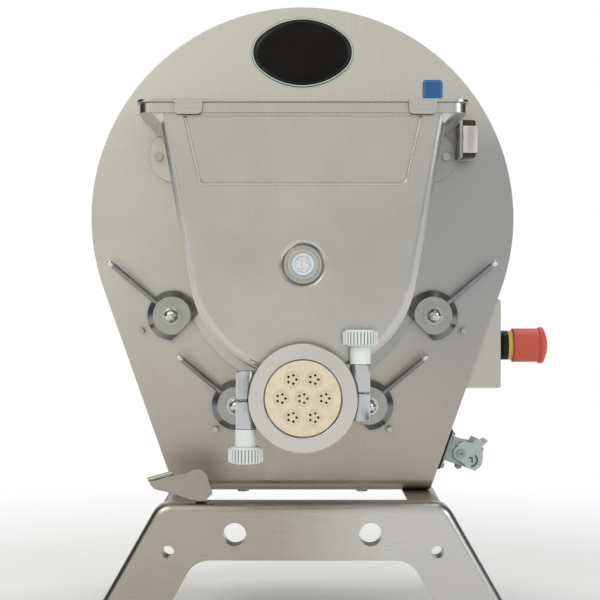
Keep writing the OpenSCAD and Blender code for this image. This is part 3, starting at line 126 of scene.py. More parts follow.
class Graph:
    """A node tree under construction, with short helpers."""

    def __init__(self, tree):
        self.tree = tree
        tree.nodes.clear()

    def node(self, kind, **values):
        """A new node with its settings."""
        made = self.tree.nodes.new(kind)
        for key, value in values.items():
            setattr(made, key, value)
        return made

    def feed(self, socket, value):
        """Links an output to a socket, or sets the socket to a colour or a plain value."""
        if isinstance(value, bpy.types.NodeSocket):
            self.tree.links.new(value, socket)
        elif socket.type == "RGBA":
            socket.default_value = (*value[:3], 1.0)
        else:
            socket.default_value = value

    def fill(self, made, **values):
        """Feeds a node's sockets by name, with _ for a space, and gives the node back."""
        for key, value in values.items():
            self.feed(made.inputs[key.replace("_", " ")], value)
        return made

    def calc(self, kind, a, b=0.0, c=0.0):
        """One step of arithmetic."""
        made = self.node("ShaderNodeMath", operation=kind)
        for socket, value in zip(made.inputs, (a, b, c)):
            self.feed(socket, value)
        return made.outputs[0]

    def vector(self, kind, a, b):
        """One step of arithmetic on vectors, and the node's outputs by name."""
        made = self.node("ShaderNodeVectorMath", operation=kind)
        self.feed(made.inputs[0], a)
        self.feed(made.inputs[1], b)
        return made.outputs

    def parts(self, vector):
        """The x, y and z of a vector."""
        made = self.node("ShaderNodeSeparateXYZ")
        self.feed(made.inputs[0], vector)
        return list(made.outputs)

    def mix(self, amount, a, b, blend="MIX"):
        """Colour a where amount is 0, and b, or both blended, where it is 1."""
        made = self.node("ShaderNodeMix", data_type="RGBA", blend_type=blend)
        for index, value in ((0, amount), (6, a), (7, b)):
            self.feed(made.inputs[index], value)
        return made.outputs[2]

    def ramp(self, value, stops):
        """Colours along 0 to 1, from (place, colour) stops, eased between them."""
        made = self.node("ShaderNodeValToRGB")
        self.feed(made.inputs[0], value)
        line = made.color_ramp
        line.interpolation = "EASE"
        while len(line.elements) < len(stops):
            line.elements.new(0.5)
        for element, (place, colour) in zip(line.elements, stops):
            element.position = place
            element.color = (*colour, 1.0)
        return made.outputs[0]


class Finish(Graph):
    """A material under construction: one shader on Object coordinates, and its patterns."""

    def __init__(self, name):
        self.mat = bpy.data.materials.new(name)
        self.mat.use_nodes = True
        super().__init__(self.mat.node_tree)
        self.out = self.node("ShaderNodeOutputMaterial")
        self.shader = self.node("ShaderNodeBsdfPrincipled")
        self.feed(self.out.inputs[0], self.shader.outputs[0])
        self.here = self.node("ShaderNodeTexCoord").outputs["Object"]

    def finished(self, **values):
        """Feeds the shader's sockets, with _ for a space, and gives the material."""
        self.fill(self.shader, **values)
        return self.mat

    def noise(self, cycles, detail=3.0, soft=0.55, warp=0.0):
        """Noise with its cycles per metre, one number or its own along x, y and z."""
        place = self.fill(self.node("ShaderNodeMapping"), Vector=self.here,
                          Scale=np.broadcast_to(cycles, 3).tolist())
        made = self.fill(self.node("ShaderNodeTexNoise"), Vector=place.outputs[0], Scale=1.0,
                         Detail=detail, Roughness=soft, Distortion=warp)
        return made.outputs["Fac"]

    def cells(self, scale):
        """Distance to the nearest of many scattered points, for specks and pits."""
        made = self.fill(self.node("ShaderNodeTexVoronoi"), Vector=self.here, Scale=scale)
        return made.outputs["Distance"]

    def span(self, value, low, high, out_low=0.0, out_high=1.0):
        """Maps low..high to out_low..out_high, smoothly and held at both ends."""
        made = self.fill(self.node("ShaderNodeMapRange", interpolation_type="SMOOTHSTEP"),
                         Value=value, From_Min=low, From_Max=high, To_Min=out_low, To_Max=out_high)
        return made.outputs[0]

    def shades(self, drift, colour, low, high, start=0.3, end=0.7):
        """A colour that drifts with a noise between two factors of itself."""
        return self.mix(self.span(drift, start, end), toned(colour, low), toned(colour, high))

    def part(self, axis):
        """One of the three Object coordinates, in metres."""
        return self.parts(self.here)[axis]

    def away(self, centre, flat=Y):
        """Distance in metres from a line through a point in mm, along the axis named flat."""
        keep = [0.0 if axis == flat else 1.0 for axis in (X, Y, Z)]
        seen = self.vector("MULTIPLY", self.here, keep)["Vector"]
        middle = [keep[axis] * centre[axis] * MM for axis in (X, Y, Z)]
        return self.vector("DISTANCE", seen, middle)["Value"]

    def rounded(self, radius):
        """Normal of the surface with its edges eased by a radius in millimetres."""
        return self.fill(self.node("ShaderNodeBevel", samples=4), Radius=radius * MM).outputs[0]

    def edges(self, eased):
        """1 along the eased edges and 0 on the faces between them."""
        face = self.node("ShaderNodeNewGeometry").outputs["Normal"]
        return self.span(self.vector("DOT_PRODUCT", eased, face)["Value"], 0.995, 0.9)

    def corner_shade(self, body, shade_colour, reach, amount, shut=0.1, clear=0.85):
        """Painted shade in corners, grooves and gaps within a reach in mm, none where it is clear.
        """
        shade = self.fill(self.node("ShaderNodeAmbientOcclusion", samples=6), Distance=reach * MM)
        return self.mix(self.span(shade.outputs["AO"], shut, clear, amount, 0.0), body, shade_colour)

    def bump(self, height, strength, depth, normal=None):
        """Bump of a depth in millimetres on top of a normal."""
        made = self.fill(self.node("ShaderNodeBump"), Height=height, Strength=strength,
                         Distance=depth * MM)
        if normal is not None:
            self.feed(made.inputs["Normal"], normal)
        return made.outputs[0]


# ---- Finishes ----


def sheet_metal(name, colour, rough=0.34, grain=(900.0, 900.0, 30.0), wear_and_sheen=0.5, ease=0.8,
                depth=0.012, painted_light_fades=(), blotch=0.05):
    """Brushed metal: stretched grain, cloudy handling marks, painted shade in corners, and
    brighter edges that are worn bright and a painted highlight too.

    Each painted light fade is (axis, start, end, colour): painted light and shade, where the
    colour drifts along one axis, in metres.
    The marks' clouds make its start and end ragged."""
    ragged = 0.06
    f = Finish(name)
    clouds = f.noise(7.0, 4.0, 0.6, 0.4)
    lines = f.noise(grain, 2.0, 0.6)
    fine = f.noise(1400.0, 1.0, 0.5)
    body = f.shades(clouds, colour, 1.0 - blotch, 1.0 + blotch)
    # Painted light and shade: the colour drifts along an axis.
    for axis, start, end, other in painted_light_fades:
        drift = f.calc("ADD", f.part(axis), f.calc("MULTIPLY", clouds, ragged))
        body = f.mix(f.span(drift, start + ragged / 2.0, end + ragged / 2.0), body, other)
    body = f.mix(f.span(lines, 0.35, 0.75, 0.0, 0.10), body, toned(colour, 0.6))
    # Painted shade: darker in corners and gaps.
    body = f.corner_shade(body, toned(colour, 0.35), 16.0, 0.55)
    eased = f.rounded(ease)
    rim = f.edges(eased)
    # Edges painted brighter: worn bright by handling, and a painted highlight too.
    body = f.mix(f.calc("MULTIPLY", rim, wear_and_sheen * 0.8), body, toned(colour, 1.5))
    gloss = f.calc("ADD", f.span(clouds, 0.25, 0.75, rough - 0.04, rough + 0.05),
                   f.span(lines, 0.3, 0.7, -0.04, 0.04))
    gloss = f.calc("SUBTRACT", gloss, f.calc("MULTIPLY", rim, 0.08))
    height = f.calc("ADD", f.calc("MULTIPLY", lines, 0.8), f.calc("MULTIPLY", fine, 0.2))
    return f.finished(Base_Color=body, Metallic=1.0, Roughness=gloss,
                      Normal=f.bump(height, 0.35, depth, eased))


def satin_casting(name, colour, rough=0.25, painted_light_fades=()):
    """Blasted and polished casting: slow waves, faint mottling and painted shade in corners.

    Each painted light fade is (axis, start, end, colour): painted light and shade, where the
    colour drifts along one axis, in metres."""
    f = Finish(name)
    clouds = f.noise(9.0, 4.0, 0.6, 0.4)
    mottle = f.noise(160.0, 3.0, 0.6)
    waves = f.noise(38.0, 2.0, 0.4, 0.3)
    body = f.shades(clouds, colour, 0.95, 1.04)
    # Painted light and shade: the colour drifts along an axis.
    for axis, start, end, other in painted_light_fades:
        body = f.mix(f.span(f.part(axis), start, end), body, other)
    body = f.mix(f.span(mottle, 0.45, 0.75, 0.0, 0.10), body, toned(colour, 0.75))
    # Painted shade: darker in corners and gaps.
    body = f.corner_shade(body, toned(colour, 0.28), 14.0, 0.6)
    gloss = f.calc("ADD", f.span(clouds, 0.25, 0.75, rough - 0.03, rough + 0.04),
                   f.span(mottle, 0.3, 0.7, -0.02, 0.02))
    height = f.calc("ADD", waves, f.calc("MULTIPLY", mottle, 0.04))
    return f.finished(Base_Color=body, Metallic=1.0, Roughness=gloss,
                      Normal=f.bump(height, 0.12, 0.25, f.rounded(1.0)))


def mirror_metal(name, colour, rough=0.07, ease=0.6, wave=0.0):
    """Plated or polished metal with faint haze, fine wiping marks, a wavy hand polish and painted
    shade in corners.
    """
    f = Finish(name)
    haze = f.noise(60.0, 4.0, 0.6)
    wipes = f.noise((1600.0, 200.0, 500.0), 2.0, 0.5)
    eased = f.rounded(ease)
    if wave:
        eased = f.bump(f.noise((75.0, 75.0, 25.0), 0.0, 0.3), 0.8, wave, eased)
    # Painted shade: darker in corners and gaps.
    body = f.corner_shade(f.shades(haze, colour, 0.94, 1.0), toned(colour, 0.15), 6.0, 0.8, clear=0.8)
    gloss = f.calc("ADD", f.span(haze, 0.3, 0.8, rough, rough + 0.08),
                   f.span(wipes, 0.4, 0.7, 0.0, 0.03))
    return f.finished(Base_Color=body, Metallic=1.0, Roughness=gloss,
                      Normal=f.bump(wipes, 0.15, 0.006, eased))


def moulded(name, colour, rough=0.42, speck=0.08, ease=0.7, skin=0.02, coat=0.0, shine=0.5,
            groove_shade=0.0):
    """Moulded plastic: a fine skin, tone changes, paler edges that are worn and partly a painted
    highlight, and painted shade in its grooves.
    """
    f = Finish(name)
    clouds = f.noise(25.0, 3.0, 0.6)
    grit = f.noise(2600.0, 2.0, 0.6)
    eased = f.rounded(ease)
    rubbed_sheen = tuple(c + (1.0 - c) * 0.12 for c in colour[:3])
    body = f.shades(clouds, colour, 1.0 - speck, 1.0 + speck)
    # Edges painted paler: worn by handling, and a painted highlight too.
    body = f.mix(f.calc("MULTIPLY", f.edges(eased), 0.35), body, rubbed_sheen)
    # Painted shade: darker in grooves and gaps within the given reach in mm.
    if groove_shade:
        body = f.corner_shade(body, toned(colour, 0.3), groove_shade, 0.6, shut=0.25, clear=0.95)
    return f.finished(Base_Color=body, Coat_Weight=coat, Coat_Roughness=0.12,
                      Roughness=f.span(clouds, 0.2, 0.8, rough - 0.05, rough + 0.07),
                      Normal=f.bump(grit, 0.3, skin, eased), Specular_IOR_Level=shine)


def soft_rubber(name, colour):
    """Matt rubber with a dusty bloom and small pits."""
    f = Finish(name)
    bloom = f.noise(40.0, 5.0, 0.7)
    dusty = tuple(c + 0.06 for c in colour[:3])
    return f.finished(Base_Color=f.mix(f.span(bloom, 0.45, 0.8, 0.0, 0.5), colour, dusty),
                      Roughness=f.span(bloom, 0.3, 0.7, 0.75, 0.9), Specular_IOR_Level=0.3,
                      Normal=f.bump(f.cells(900.0), 0.3, 0.03, f.rounded(1.0)))


# ---- Surface helpers ----


def points(x, y, z):
    """Points from three arrays or numbers that broadcast together."""
    return np.stack(np.broadcast_arrays(x, y, z), -1).astype(float)


def turn(count):
    """Angles once round, without the last."""
    return np.linspace(0.0, 2.0 * math.pi, count, endpoint=False)


def arc(centre, radius, angles):
    """Flat points at a radius, or at the two half sizes of an ellipse, round a centre."""
    return centre + np.multiply(radius, np.stack([np.cos(angles), np.sin(angles)], -1))


def outward(verts, faces):
    """Faces turned so that the closed shape's signed volume is positive."""
    volume = 0.0
    for face in faces:
        ring = verts[list(face)]
        volume += np.einsum("ij,ij->i", np.broadcast_to(ring[0], ring[1:-1].shape),
                            np.cross(ring[1:-1], ring[2:])).sum()
    return [tuple(reversed(face)) for face in faces] if volume < 0 else faces


def grid_faces(rows, columns, wrap=False):
    """Quads between the points of a grid whose rows are rings, and its ends too if it wraps."""
    i = np.arange(rows if wrap else rows - 1)[:, None]
    j = np.arange(columns)[None, :]
    i2, j2 = (i + 1) % rows, (j + 1) % columns
    quads = np.stack([i * columns + j, i * columns + j2, i2 * columns + j2, i2 * columns + j], -1)
    return [tuple(q) for q in quads.reshape(-1, 4).tolist()]


def capped(grid):
    """Points and faces of a grid whose rows are rings, with its first and last ring closed."""
    rows, columns = grid.shape[:2]
    index = range(rows * columns)
    ends = [tuple(reversed(index[:columns])), tuple(index[-columns:])]
    return grid.reshape(-1, 3), grid_faces(rows, columns) + ends


def swept(path, side, up, outline, swell=1.0, closed=False):
    """Points and faces of an outline carried along a path.

    Point (i, j) is path[i] + swell[i] * (outline[j, 0] * side[i] + outline[j, 1] * up[i])."""
    side, up = (np.broadcast_to(a, path.shape)[:, None] for a in (side, up))
    swell = np.broadcast_to(swell, len(path))[:, None, None]
    grid = path[:, None] + swell * (outline[:, :1] * side + outline[:, 1:] * up)
    if not closed:
        return capped(grid)
    return grid.reshape(-1, 3), grid_faces(*grid.shape[:2], wrap=True)


def weld_bead(start, end, side, up, radius):
    """A fillet weld: a round bead along a straight seam, whose radius ripples.

    The swell is 1 + 0.12 * |sin(pi * s / 2.6 mm)|, rounded off to a third at both ends."""
    pitch, step, swing = 2.6, 0.5, 0.12
    start, end = np.asarray(start, float), np.asarray(end, float)
    length = np.linalg.norm(end - start)
    t = np.linspace(0.0, 1.0, max(24, int(length / step)))
    ripple = 1.0 + swing * np.abs(np.sin(math.pi * t * length / pitch))
    taper = np.clip(np.minimum(t, 1.0 - t) * length / radius, 0.0, 1.0)
    return swept(start + t[:, None] * (end - start), side, up, arc((0.0, 0.0), radius, turn(12)),
                 ripple * np.sqrt(0.1 + 0.9 * taper * (2.0 - taper)))


def joined(shapes):
    """Several (points, faces) pairs as one."""
    verts, faces, count = [], [], 0
    for shape, rings in shapes:
        verts.append(shape)
        faces += [tuple(i + count for i in ring) for ring in outward(shape, rings)]
        count += len(shape)
    return np.vstack(verts), faces


def add_piece(name, shape, material, body=MACHINE):
    """A smooth closed mesh at the origin that rides on a body. Its points are in millimetres."""
    verts, faces = shape
    mesh = bpy.data.meshes.new(name)
    mesh.from_pydata((verts * MM).tolist(), [], outward(verts, faces))
    mesh.polygons.foreach_set("use_smooth", [True] * len(mesh.polygons))
    mesh.materials.append(material)
    piece = bpy.data.objects.new(name, mesh)
    bpy.context.scene.collection.objects.link(piece)
    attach(piece, body)


def dress(material, *names):
    """Gives parts a material in every slot."""
    for name in names:
        part = NODES[name]
        if part.material_slots:
            for holder in part.material_slots:
                holder.material = material
        else:
            part.data.materials.append(material)


# ---- Values a user would change ----


def colour_value(name, words, value):
    return bpy.props.FloatVectorProperty(name=name, description=words, subtype="COLOR", size=3,
                                         min=0.0, max=1.0, default=value)


def length_value(name, words, value, low, high):
    return bpy.props.FloatProperty(name=name, description=words, subtype="DISTANCE",
                                   unit="LENGTH", default=value * MM, min=low * MM, max=high * MM)


def share_value(name, words, value):
    return bpy.props.FloatProperty(name=name, description=words, subtype="FACTOR", default=value,
                                   min=0.0, max=1.0)


class PastaMakerFinishes(bpy.types.PropertyGroup):
    """Colours and wear of the machine's finishes."""
    casing: colour_value("Casing", "Brushed sheet of the casing and front plate",
                         (0.585, 0.57, 0.52))
    # Painted shade: the casing sheet darker towards its right side.
    casing_right_shade: colour_value("Casing, right side", "Casing sheet towards its right side",
                               (0.42, 0.42, 0.415))
    # Painted shade: the casing sheet darker towards its lower edge.
    casing_low_shade: colour_value("Casing, lower part", "Casing sheet towards its lower edge",
                             (0.44, 0.40, 0.355))
    stand: colour_value("Stand", "Brushed sheet of the stand", (0.45, 0.42, 0.365))
    # Painted light: the stand sheet lighter towards its right side.
    stand_right_lit: colour_value("Stand, right side", "Stand sheet towards its right side",
                              (0.62, 0.61, 0.585))
    tub: colour_value("Tub", "Satin castings: tub, barrel and flange", (0.565, 0.555, 0.525))
    root: colour_value("Root seam", "Cream sealed seam where the tub meets its flange",
                       (0.66, 0.61, 0.47))
    ring: colour_value("Ring nut", "Turned face of the die's ring nut", (0.66, 0.64, 0.595))
    die: colour_value("Die", "Bronze die, dusty with flour", (0.80, 0.69, 0.52))
    knob: colour_value("Knobs", "Pale plastic of the clamp knobs", (0.76, 0.80, 0.77))
    stop: colour_value("Stop button", "Red plastic of the stop button", (0.64, 0.095, 0.06))
    collar: colour_value("Collar", "Yellow plastic of the stop button's collar",
                         (0.80, 0.50, 0.11))
    socket: colour_value("Socket", "Grey plastic of the power socket", (0.40, 0.45, 0.45))
    sticker: colour_value("Sticker", "Blue print of the square sticker", (0.004, 0.10, 0.31))
    # Edges painted brighter: worn bright, and a painted highlight too.
    wear_and_sheen: share_value("Wear", "How much the edges are rubbed bright", 0.5)


class PastaMakerTrim(bpy.types.PropertyGroup):
    """Sizes of the small trim added to the parts."""
    root_fillet: length_value("Root fillet", "Radius where the tub meets its flange", 5, 2, 8)
    bead: length_value("Panel bead", "Radius of the bead around the label panel", 1.3, 0.4, 1.8)
    badge_border: length_value("Badge border", "Radius of the badge's border", 0.6, 0.3, 1.0)
    sticker: length_value("Sticker", "Side of the square sticker", 22, 15, 30)
    weld: length_value("Weld", "Radius of the stand's weld beads", 1.9, 1.0, 3.0)


class PastaMakerStage(bpy.types.PropertyGroup):
    """Light, floor and camera."""
    floor_radius: bpy.props.FloatProperty(name="Floor radius", description="Radius of the floor",
                                          subtype="DISTANCE", unit="LENGTH", default=7.0,
                                          min=2.0, max=20.0)
    lamp_power: bpy.props.FloatProperty(name="Key lamp", description="Power of the key lamp",
                                        unit="POWER", default=16.0, min=0.0, max=200.0)
    room_light: bpy.props.FloatProperty(name="Room light", description="Strength of the room",
                                        default=0.72, min=0.0, max=3.0)


# ---- Casing ----


class PASTA_OT_casing(bpy.types.Operator):
    """Finish the front plate, casing, rear cover, control box and fasteners"""
    bl_idname = "pasta.casing"
    bl_label = "Casing"

    def execute(self, context):
        look = context.scene.pasta_finishes
        # Painted light and shade on the casing sheet: darker towards its right side, lighter near
        # its upper edge, darker towards its lower edge.
        right = (X, 0.06, 0.17, tuple(look.casing_right_shade))
        lit_top = (Z, 0.52, 0.62, toned(look.casing, 1.12))
        low = (Z, 0.40, 0.17, tuple(look.casing_low_shade))
        round_grain = (60.0, 14.0, 900.0)
        plate = sheet_metal("front_plate_sheet", look.casing, rough=0.33, ease=1.0, depth=0.010,
                            grain=(1100.0, 60.0, 26.0), wear_and_sheen=look.wear_and_sheen, painted_light_fades=(right, lit_top, low))
        shell = sheet_metal("casing_sheet", look.casing, rough=0.36, ease=1.0, depth=0.010,
                            grain=round_grain, wear_and_sheen=look.wear_and_sheen, painted_light_fades=(low,))
        dress(plate, "front_plate", "sensor_bracket")
        dress(sheet_metal("hinge_bracket_steel", toned(look.casing, 0.8), rough=0.24,
                          grain=(300.0, 300.0, 60.0), wear_and_sheen=look.wear_and_sheen), "lid_hinge_brackets")
        dress(shell, "casing_shell", "rear_cover")
        dress(sheet_metal("control_box_sheet", toned(look.casing, 0.95), grain=round_grain,
                          wear_and_sheen=look.wear_and_sheen, ease=1.4, depth=0.010), "control_box")
        dress(mirror_metal("fastener_steel", (0.50, 0.49, 0.47), rough=0.22),
              "screws_and_bolts", "plate_pins", "lid_hinge_pins", "cam_studs")
        return {"FINISHED"}


class PASTA_OT_badge(bpy.types.Operator):
    """Bare black oval badge with a domed face and a pale border, and a bare blue sticker"""
    bl_idname = "pasta.badge"
    bl_label = "Badge and sticker"

    def execute(self, context):
        look, trim = context.scene.pasta_finishes, context.scene.pasta_trim
        resin = moulded("badge_resin", (0.007, 0.006, 0.005), rough=0.22, speck=0.3, ease=0.8,
                        skin=0.002, shine=0.12)
        border = moulded("badge_border", (0.50, 0.66, 0.58), rough=0.3, speck=0.05, ease=0.3,
                         skin=0.002)
        half = trim.sticker / MM / 2.0
        dress(resin, "badge")
        add_piece("badge_border", self.border(trim.badge_border / MM), border)
        add_piece("badge_lens", self.lens(), resin)
        add_piece("blue_sticker", self.square(half), self.blue_print(look.sticker, half))
        return {"FINISHED"}

    @staticmethod
    def oval(inset):
        """The badge's outline, drawn in by an inset.

        Four arcs: two of radius 69.5 above and below, two of radius 26 at the ends."""
        big, small, reach, tall = 69.5, 26.0, 30.0, 38.0
        bend, half_turn = math.atan2(big - tall, reach), math.pi
        arcs = [arc(centre, radius - inset, np.linspace(start, end, 40, endpoint=False))
                for centre, radius, start, end in (
                    ((0.0, tall - big), big, bend, half_turn - bend),
                    ((-reach, 0.0), small, half_turn - bend, half_turn + bend),
                    ((0.0, big - tall), big, half_turn + bend, 2.0 * half_turn - bend),
                    ((reach, 0.0), small, -bend, bend))]
        return np.vstack(arcs)

    def border(self, radius):
        """Closed bead along the oval: an ellipse with half sizes of 1.3 and 0.6 radii."""
        inset, front = 1.1, -1.5
        x, z = self.oval(inset).T
        out = points(x, 0.0, z)
        out /= np.linalg.norm(out, axis=1)[:, None]
        outline = arc((0.0, 0.0), (radius * 1.3, radius * 0.6), turn(10))
        return swept(points(x, front, BADGE_Z + z), out, FORWARD, outline, closed=True)

    def lens(self):
        """Lens over the badge: at share u of the oval it stands 1.12 + 0.5 * (1 - u^4) mm out."""
        inset, edge, crown = 2.4, 1.12, 0.5
        x, z = self.oval(inset).T
        u = np.linspace(0.02, 1.0, 24)[:, None]
        front = points(u * x, -edge - crown * (1.0 - u ** 4), BADGE_Z + u * z)
        back = front[[-1, 0]]
        back[..., Y] = LENS_BACK_Y
        return capped(np.concatenate([front, back]))

    @staticmethod
    def square(half):
        """Rounded square |x|^8 + |z|^8 = half^8, 0.35 mm thick with an eased edge."""
        cos, sin = arc((0.0, 0.0), 1.0, turn(96)).T
        reach = half / (np.abs(cos) ** 8 + np.abs(sin) ** 8) ** 0.125
        u = np.concatenate([np.linspace(0.03, 0.98, 14), [1.0, 1.0, 0.03]])[:, None]
        rise = np.concatenate([np.full(13, 0.35), [0.33, 0.22, 0.0, 0.0]])[:, None]
        return capped(points(STICKER_X + u * reach * cos, -rise, STICKER_Z + u * reach * sin))

    @staticmethod
    def blue_print(blue, half):
        """Glossy blue print with a paler line half a millimetre wide near its edge."""
        inner, outer, blur = half - 1.9, half - 1.2, 0.2
        f = Finish("sticker_print")
        x, _, z = f.parts(f.here)
        reach = f.calc("MAXIMUM", f.calc("ABSOLUTE", f.calc("SUBTRACT", x, STICKER_X * MM)),
                       f.calc("ABSOLUTE", f.calc("SUBTRACT", z, STICKER_Z * MM)))
        line = f.calc("MULTIPLY", f.span(reach, inner * MM, (inner + blur) * MM),
                      f.span(reach, outer * MM, (outer - blur) * MM))
        ink = f.noise(900.0, 2.0)
        body = f.mix(f.calc("MULTIPLY", line, 0.35), f.shades(ink, blue, 0.85, 1.15),
                     (0.45, 0.6, 0.8))
        return f.finished(Base_Color=body, Roughness=f.span(ink, 0.3, 0.7, 0.25, 0.34),
                          Coat_Weight=0.3, Normal=f.bump(ink, 0.1, 0.004))


# ---- Tub, lid and hub ----


class PASTA_OT_tub(bpy.types.Operator):
    """Finish the mixing tub, its shaft, flange and hub, and add root fillets and a panel bead"""
    bl_idname = "pasta.tub"
    bl_label = "Mixing tub"

    def execute(self, context):
        look, trim = context.scene.pasta_finishes, context.scene.pasta_trim
        # Painted light and shade on the flange: its colour drifts to the casing's at the left, and
        # to the darker painted shade of the casing's right side at the right.
        left = (X, -0.10, -0.06, tuple(look.casing))
        right = (X, 0.04, 0.10, tuple(look.casing_right_shade))
        cast = satin_casting("tub_casting", look.tub)
        seam = satin_casting("root_seam", look.root, rough=0.42)
        dress(cast, "mixing_tub", "mixer_shaft")
        dress(satin_casting("flange_casting", (0.61, 0.58, 0.50), rough=0.33,
                            painted_light_fades=(left, right)), "tub_flange")
        dress(moulded("hub_bush_plastic", (0.62, 0.74, 0.82), rough=0.3, speck=0.05, ease=0.5,
                      skin=0.01, coat=0.3), "hub_bush")
        dress(self.film("hub_cap_film"), "hub_cap")
        radius = trim.root_fillet / MM
        add_piece("tub_root_right", self.root(1, radius), cast)
        add_piece("tub_root_left", self.root(-1, radius), seam)
        add_piece("panel_bead", self.panel_bead(trim.bead / MM), cast)
        return {"FINISHED"}

    @staticmethod
    def film(name):
        """Cap under a thin wrinkled film: creased pale grey with bright glints."""
        f = Finish(name)
        creases = f.noise(430.0, 3.0, 0.55, 0.5)
        body = f.mix(f.span(creases, 0.35, 0.65), (0.50, 0.53, 0.55), (0.74, 0.76, 0.76))
        return f.finished(Base_Color=body, Roughness=f.span(creases, 0.3, 0.7, 0.16, 0.3),
                          Coat_Weight=0.4, Normal=f.bump(creases, 0.5, 0.4, f.rounded(1.0)))

    @staticmethod
    def root(side, radius):
        """Concave fillet between the tub's wall and its flange.

        The path is the tub's outline: an arc about the mixer's axis, then a straight flared side
        that ends below the rim. The outline of the fillet is a quarter circle of the given radius
        hollowed out of a square corner, swelling by up to 12 % in two slow waves."""
        below_rim, into_wall, into_flange = 10.0, 0.6, 0.4
        angles = np.linspace(ROOT_START, -TUB_FLARE, 60)
        bowl = arc((0.0, MIXER_Z), TUB_R, angles)
        slope = np.array([math.sin(TUB_FLARE), math.cos(TUB_FLARE)])
        rise = RIM_LOW_Z - below_rim - bowl[-1, 1]
        run = np.linspace(0.0, rise / slope[1], 60)[1:, None]
        x, z = np.vstack([bowl, bowl[-1] + run * slope]).T
        out_x, out_z = np.vstack([arc((0.0, 0.0), 1.0, angles),
                                  np.tile([slope[1], -slope[0]], (len(run), 1))]).T
        a = np.linspace(0.0, math.pi / 2.0, 9)
        hollow = radius * (1.0 - np.stack([np.sin(a), np.cos(a)], -1))
        outline = np.vstack([hollow, [[-into_wall, radius], [-into_wall, -into_flange],
                                      [radius, -into_flange]]])
        s = np.arange(len(x))
        swell = 1.0 + 0.06 * np.sin(0.23 * s + side) + 0.06 * np.sin(0.61 * s)
        return swept(points(side * x, FLANGE_Y, z), points(side * out_x, 0.0, out_z), FORWARD,
                     outline, swell)

    @staticmethod
    def panel_bead(radius):
        """Bead around the bare label panel: an ellipse half as tall as wide, sunk to its middle.

        The path goes down a flared side, round a low corner, along the bottom and up again."""
        bend = math.pi / 2.0 - PANEL_FLARE
        centre = np.array([PANEL_HALF - PANEL_CORNER * math.tan(bend / 2.0),
                           PANEL_LOW_Z + PANEL_CORNER])
        curve = arc(centre, PANEL_CORNER, np.linspace(-math.pi / 2.0, -PANEL_FLARE, 14))
        end_x, end_z = curve[-1]
        rise = np.linspace(0.0, PANEL_TOP_Z - end_z, 40)[1:]
        flared = np.stack([end_x + rise * math.tan(PANEL_FLARE), end_z + rise], -1)
        flat_x = np.linspace(0.0, curve[0, 0], 40)[:-1]
        flat = np.stack([flat_x, np.full(len(flat_x), PANEL_LOW_Z)], -1)
        right = np.vstack([flat, curve, flared])
        x, z = np.vstack([right[::-1] * [-1.0, 1.0], right[1:]]).T
        path = points(x, TUB_Y, z)
        along = np.gradient(path, axis=0)
        along /= np.linalg.norm(along, axis=1)[:, None]
        outline = arc((0.0, 0.0), (radius, 0.5 * radius), turn(10))
        return swept(path, np.cross(FORWARD, along), FORWARD, outline)


class PASTA_OT_lid(bpy.types.Operator):
    """Finish the lid and its sensor"""
    bl_idname = "pasta.lid"
    bl_label = "Lid and sensor"

    def execute(self, context):
        look = context.scene.pasta_finishes
        dress(sheet_metal("lid_sheet", toned(look.tub, 1.05), rough=0.24, wear_and_sheen=0.3, ease=0.9,
                          grain=(30.0, 700.0, 700.0), depth=0.005), "lid")
        dress(mirror_metal("sensor_chrome", (0.72, 0.69, 0.67), rough=0.08, ease=2.2, wave=3.0),
              "sensor_cover")
        dress(moulded("sensor_plastic", (0.035, 0.035, 0.025), rough=0.4, speck=0.15, shine=0.3),
              "sensor_body")
        return {"FINISHED"}


# ---- Extruder and clamps ----


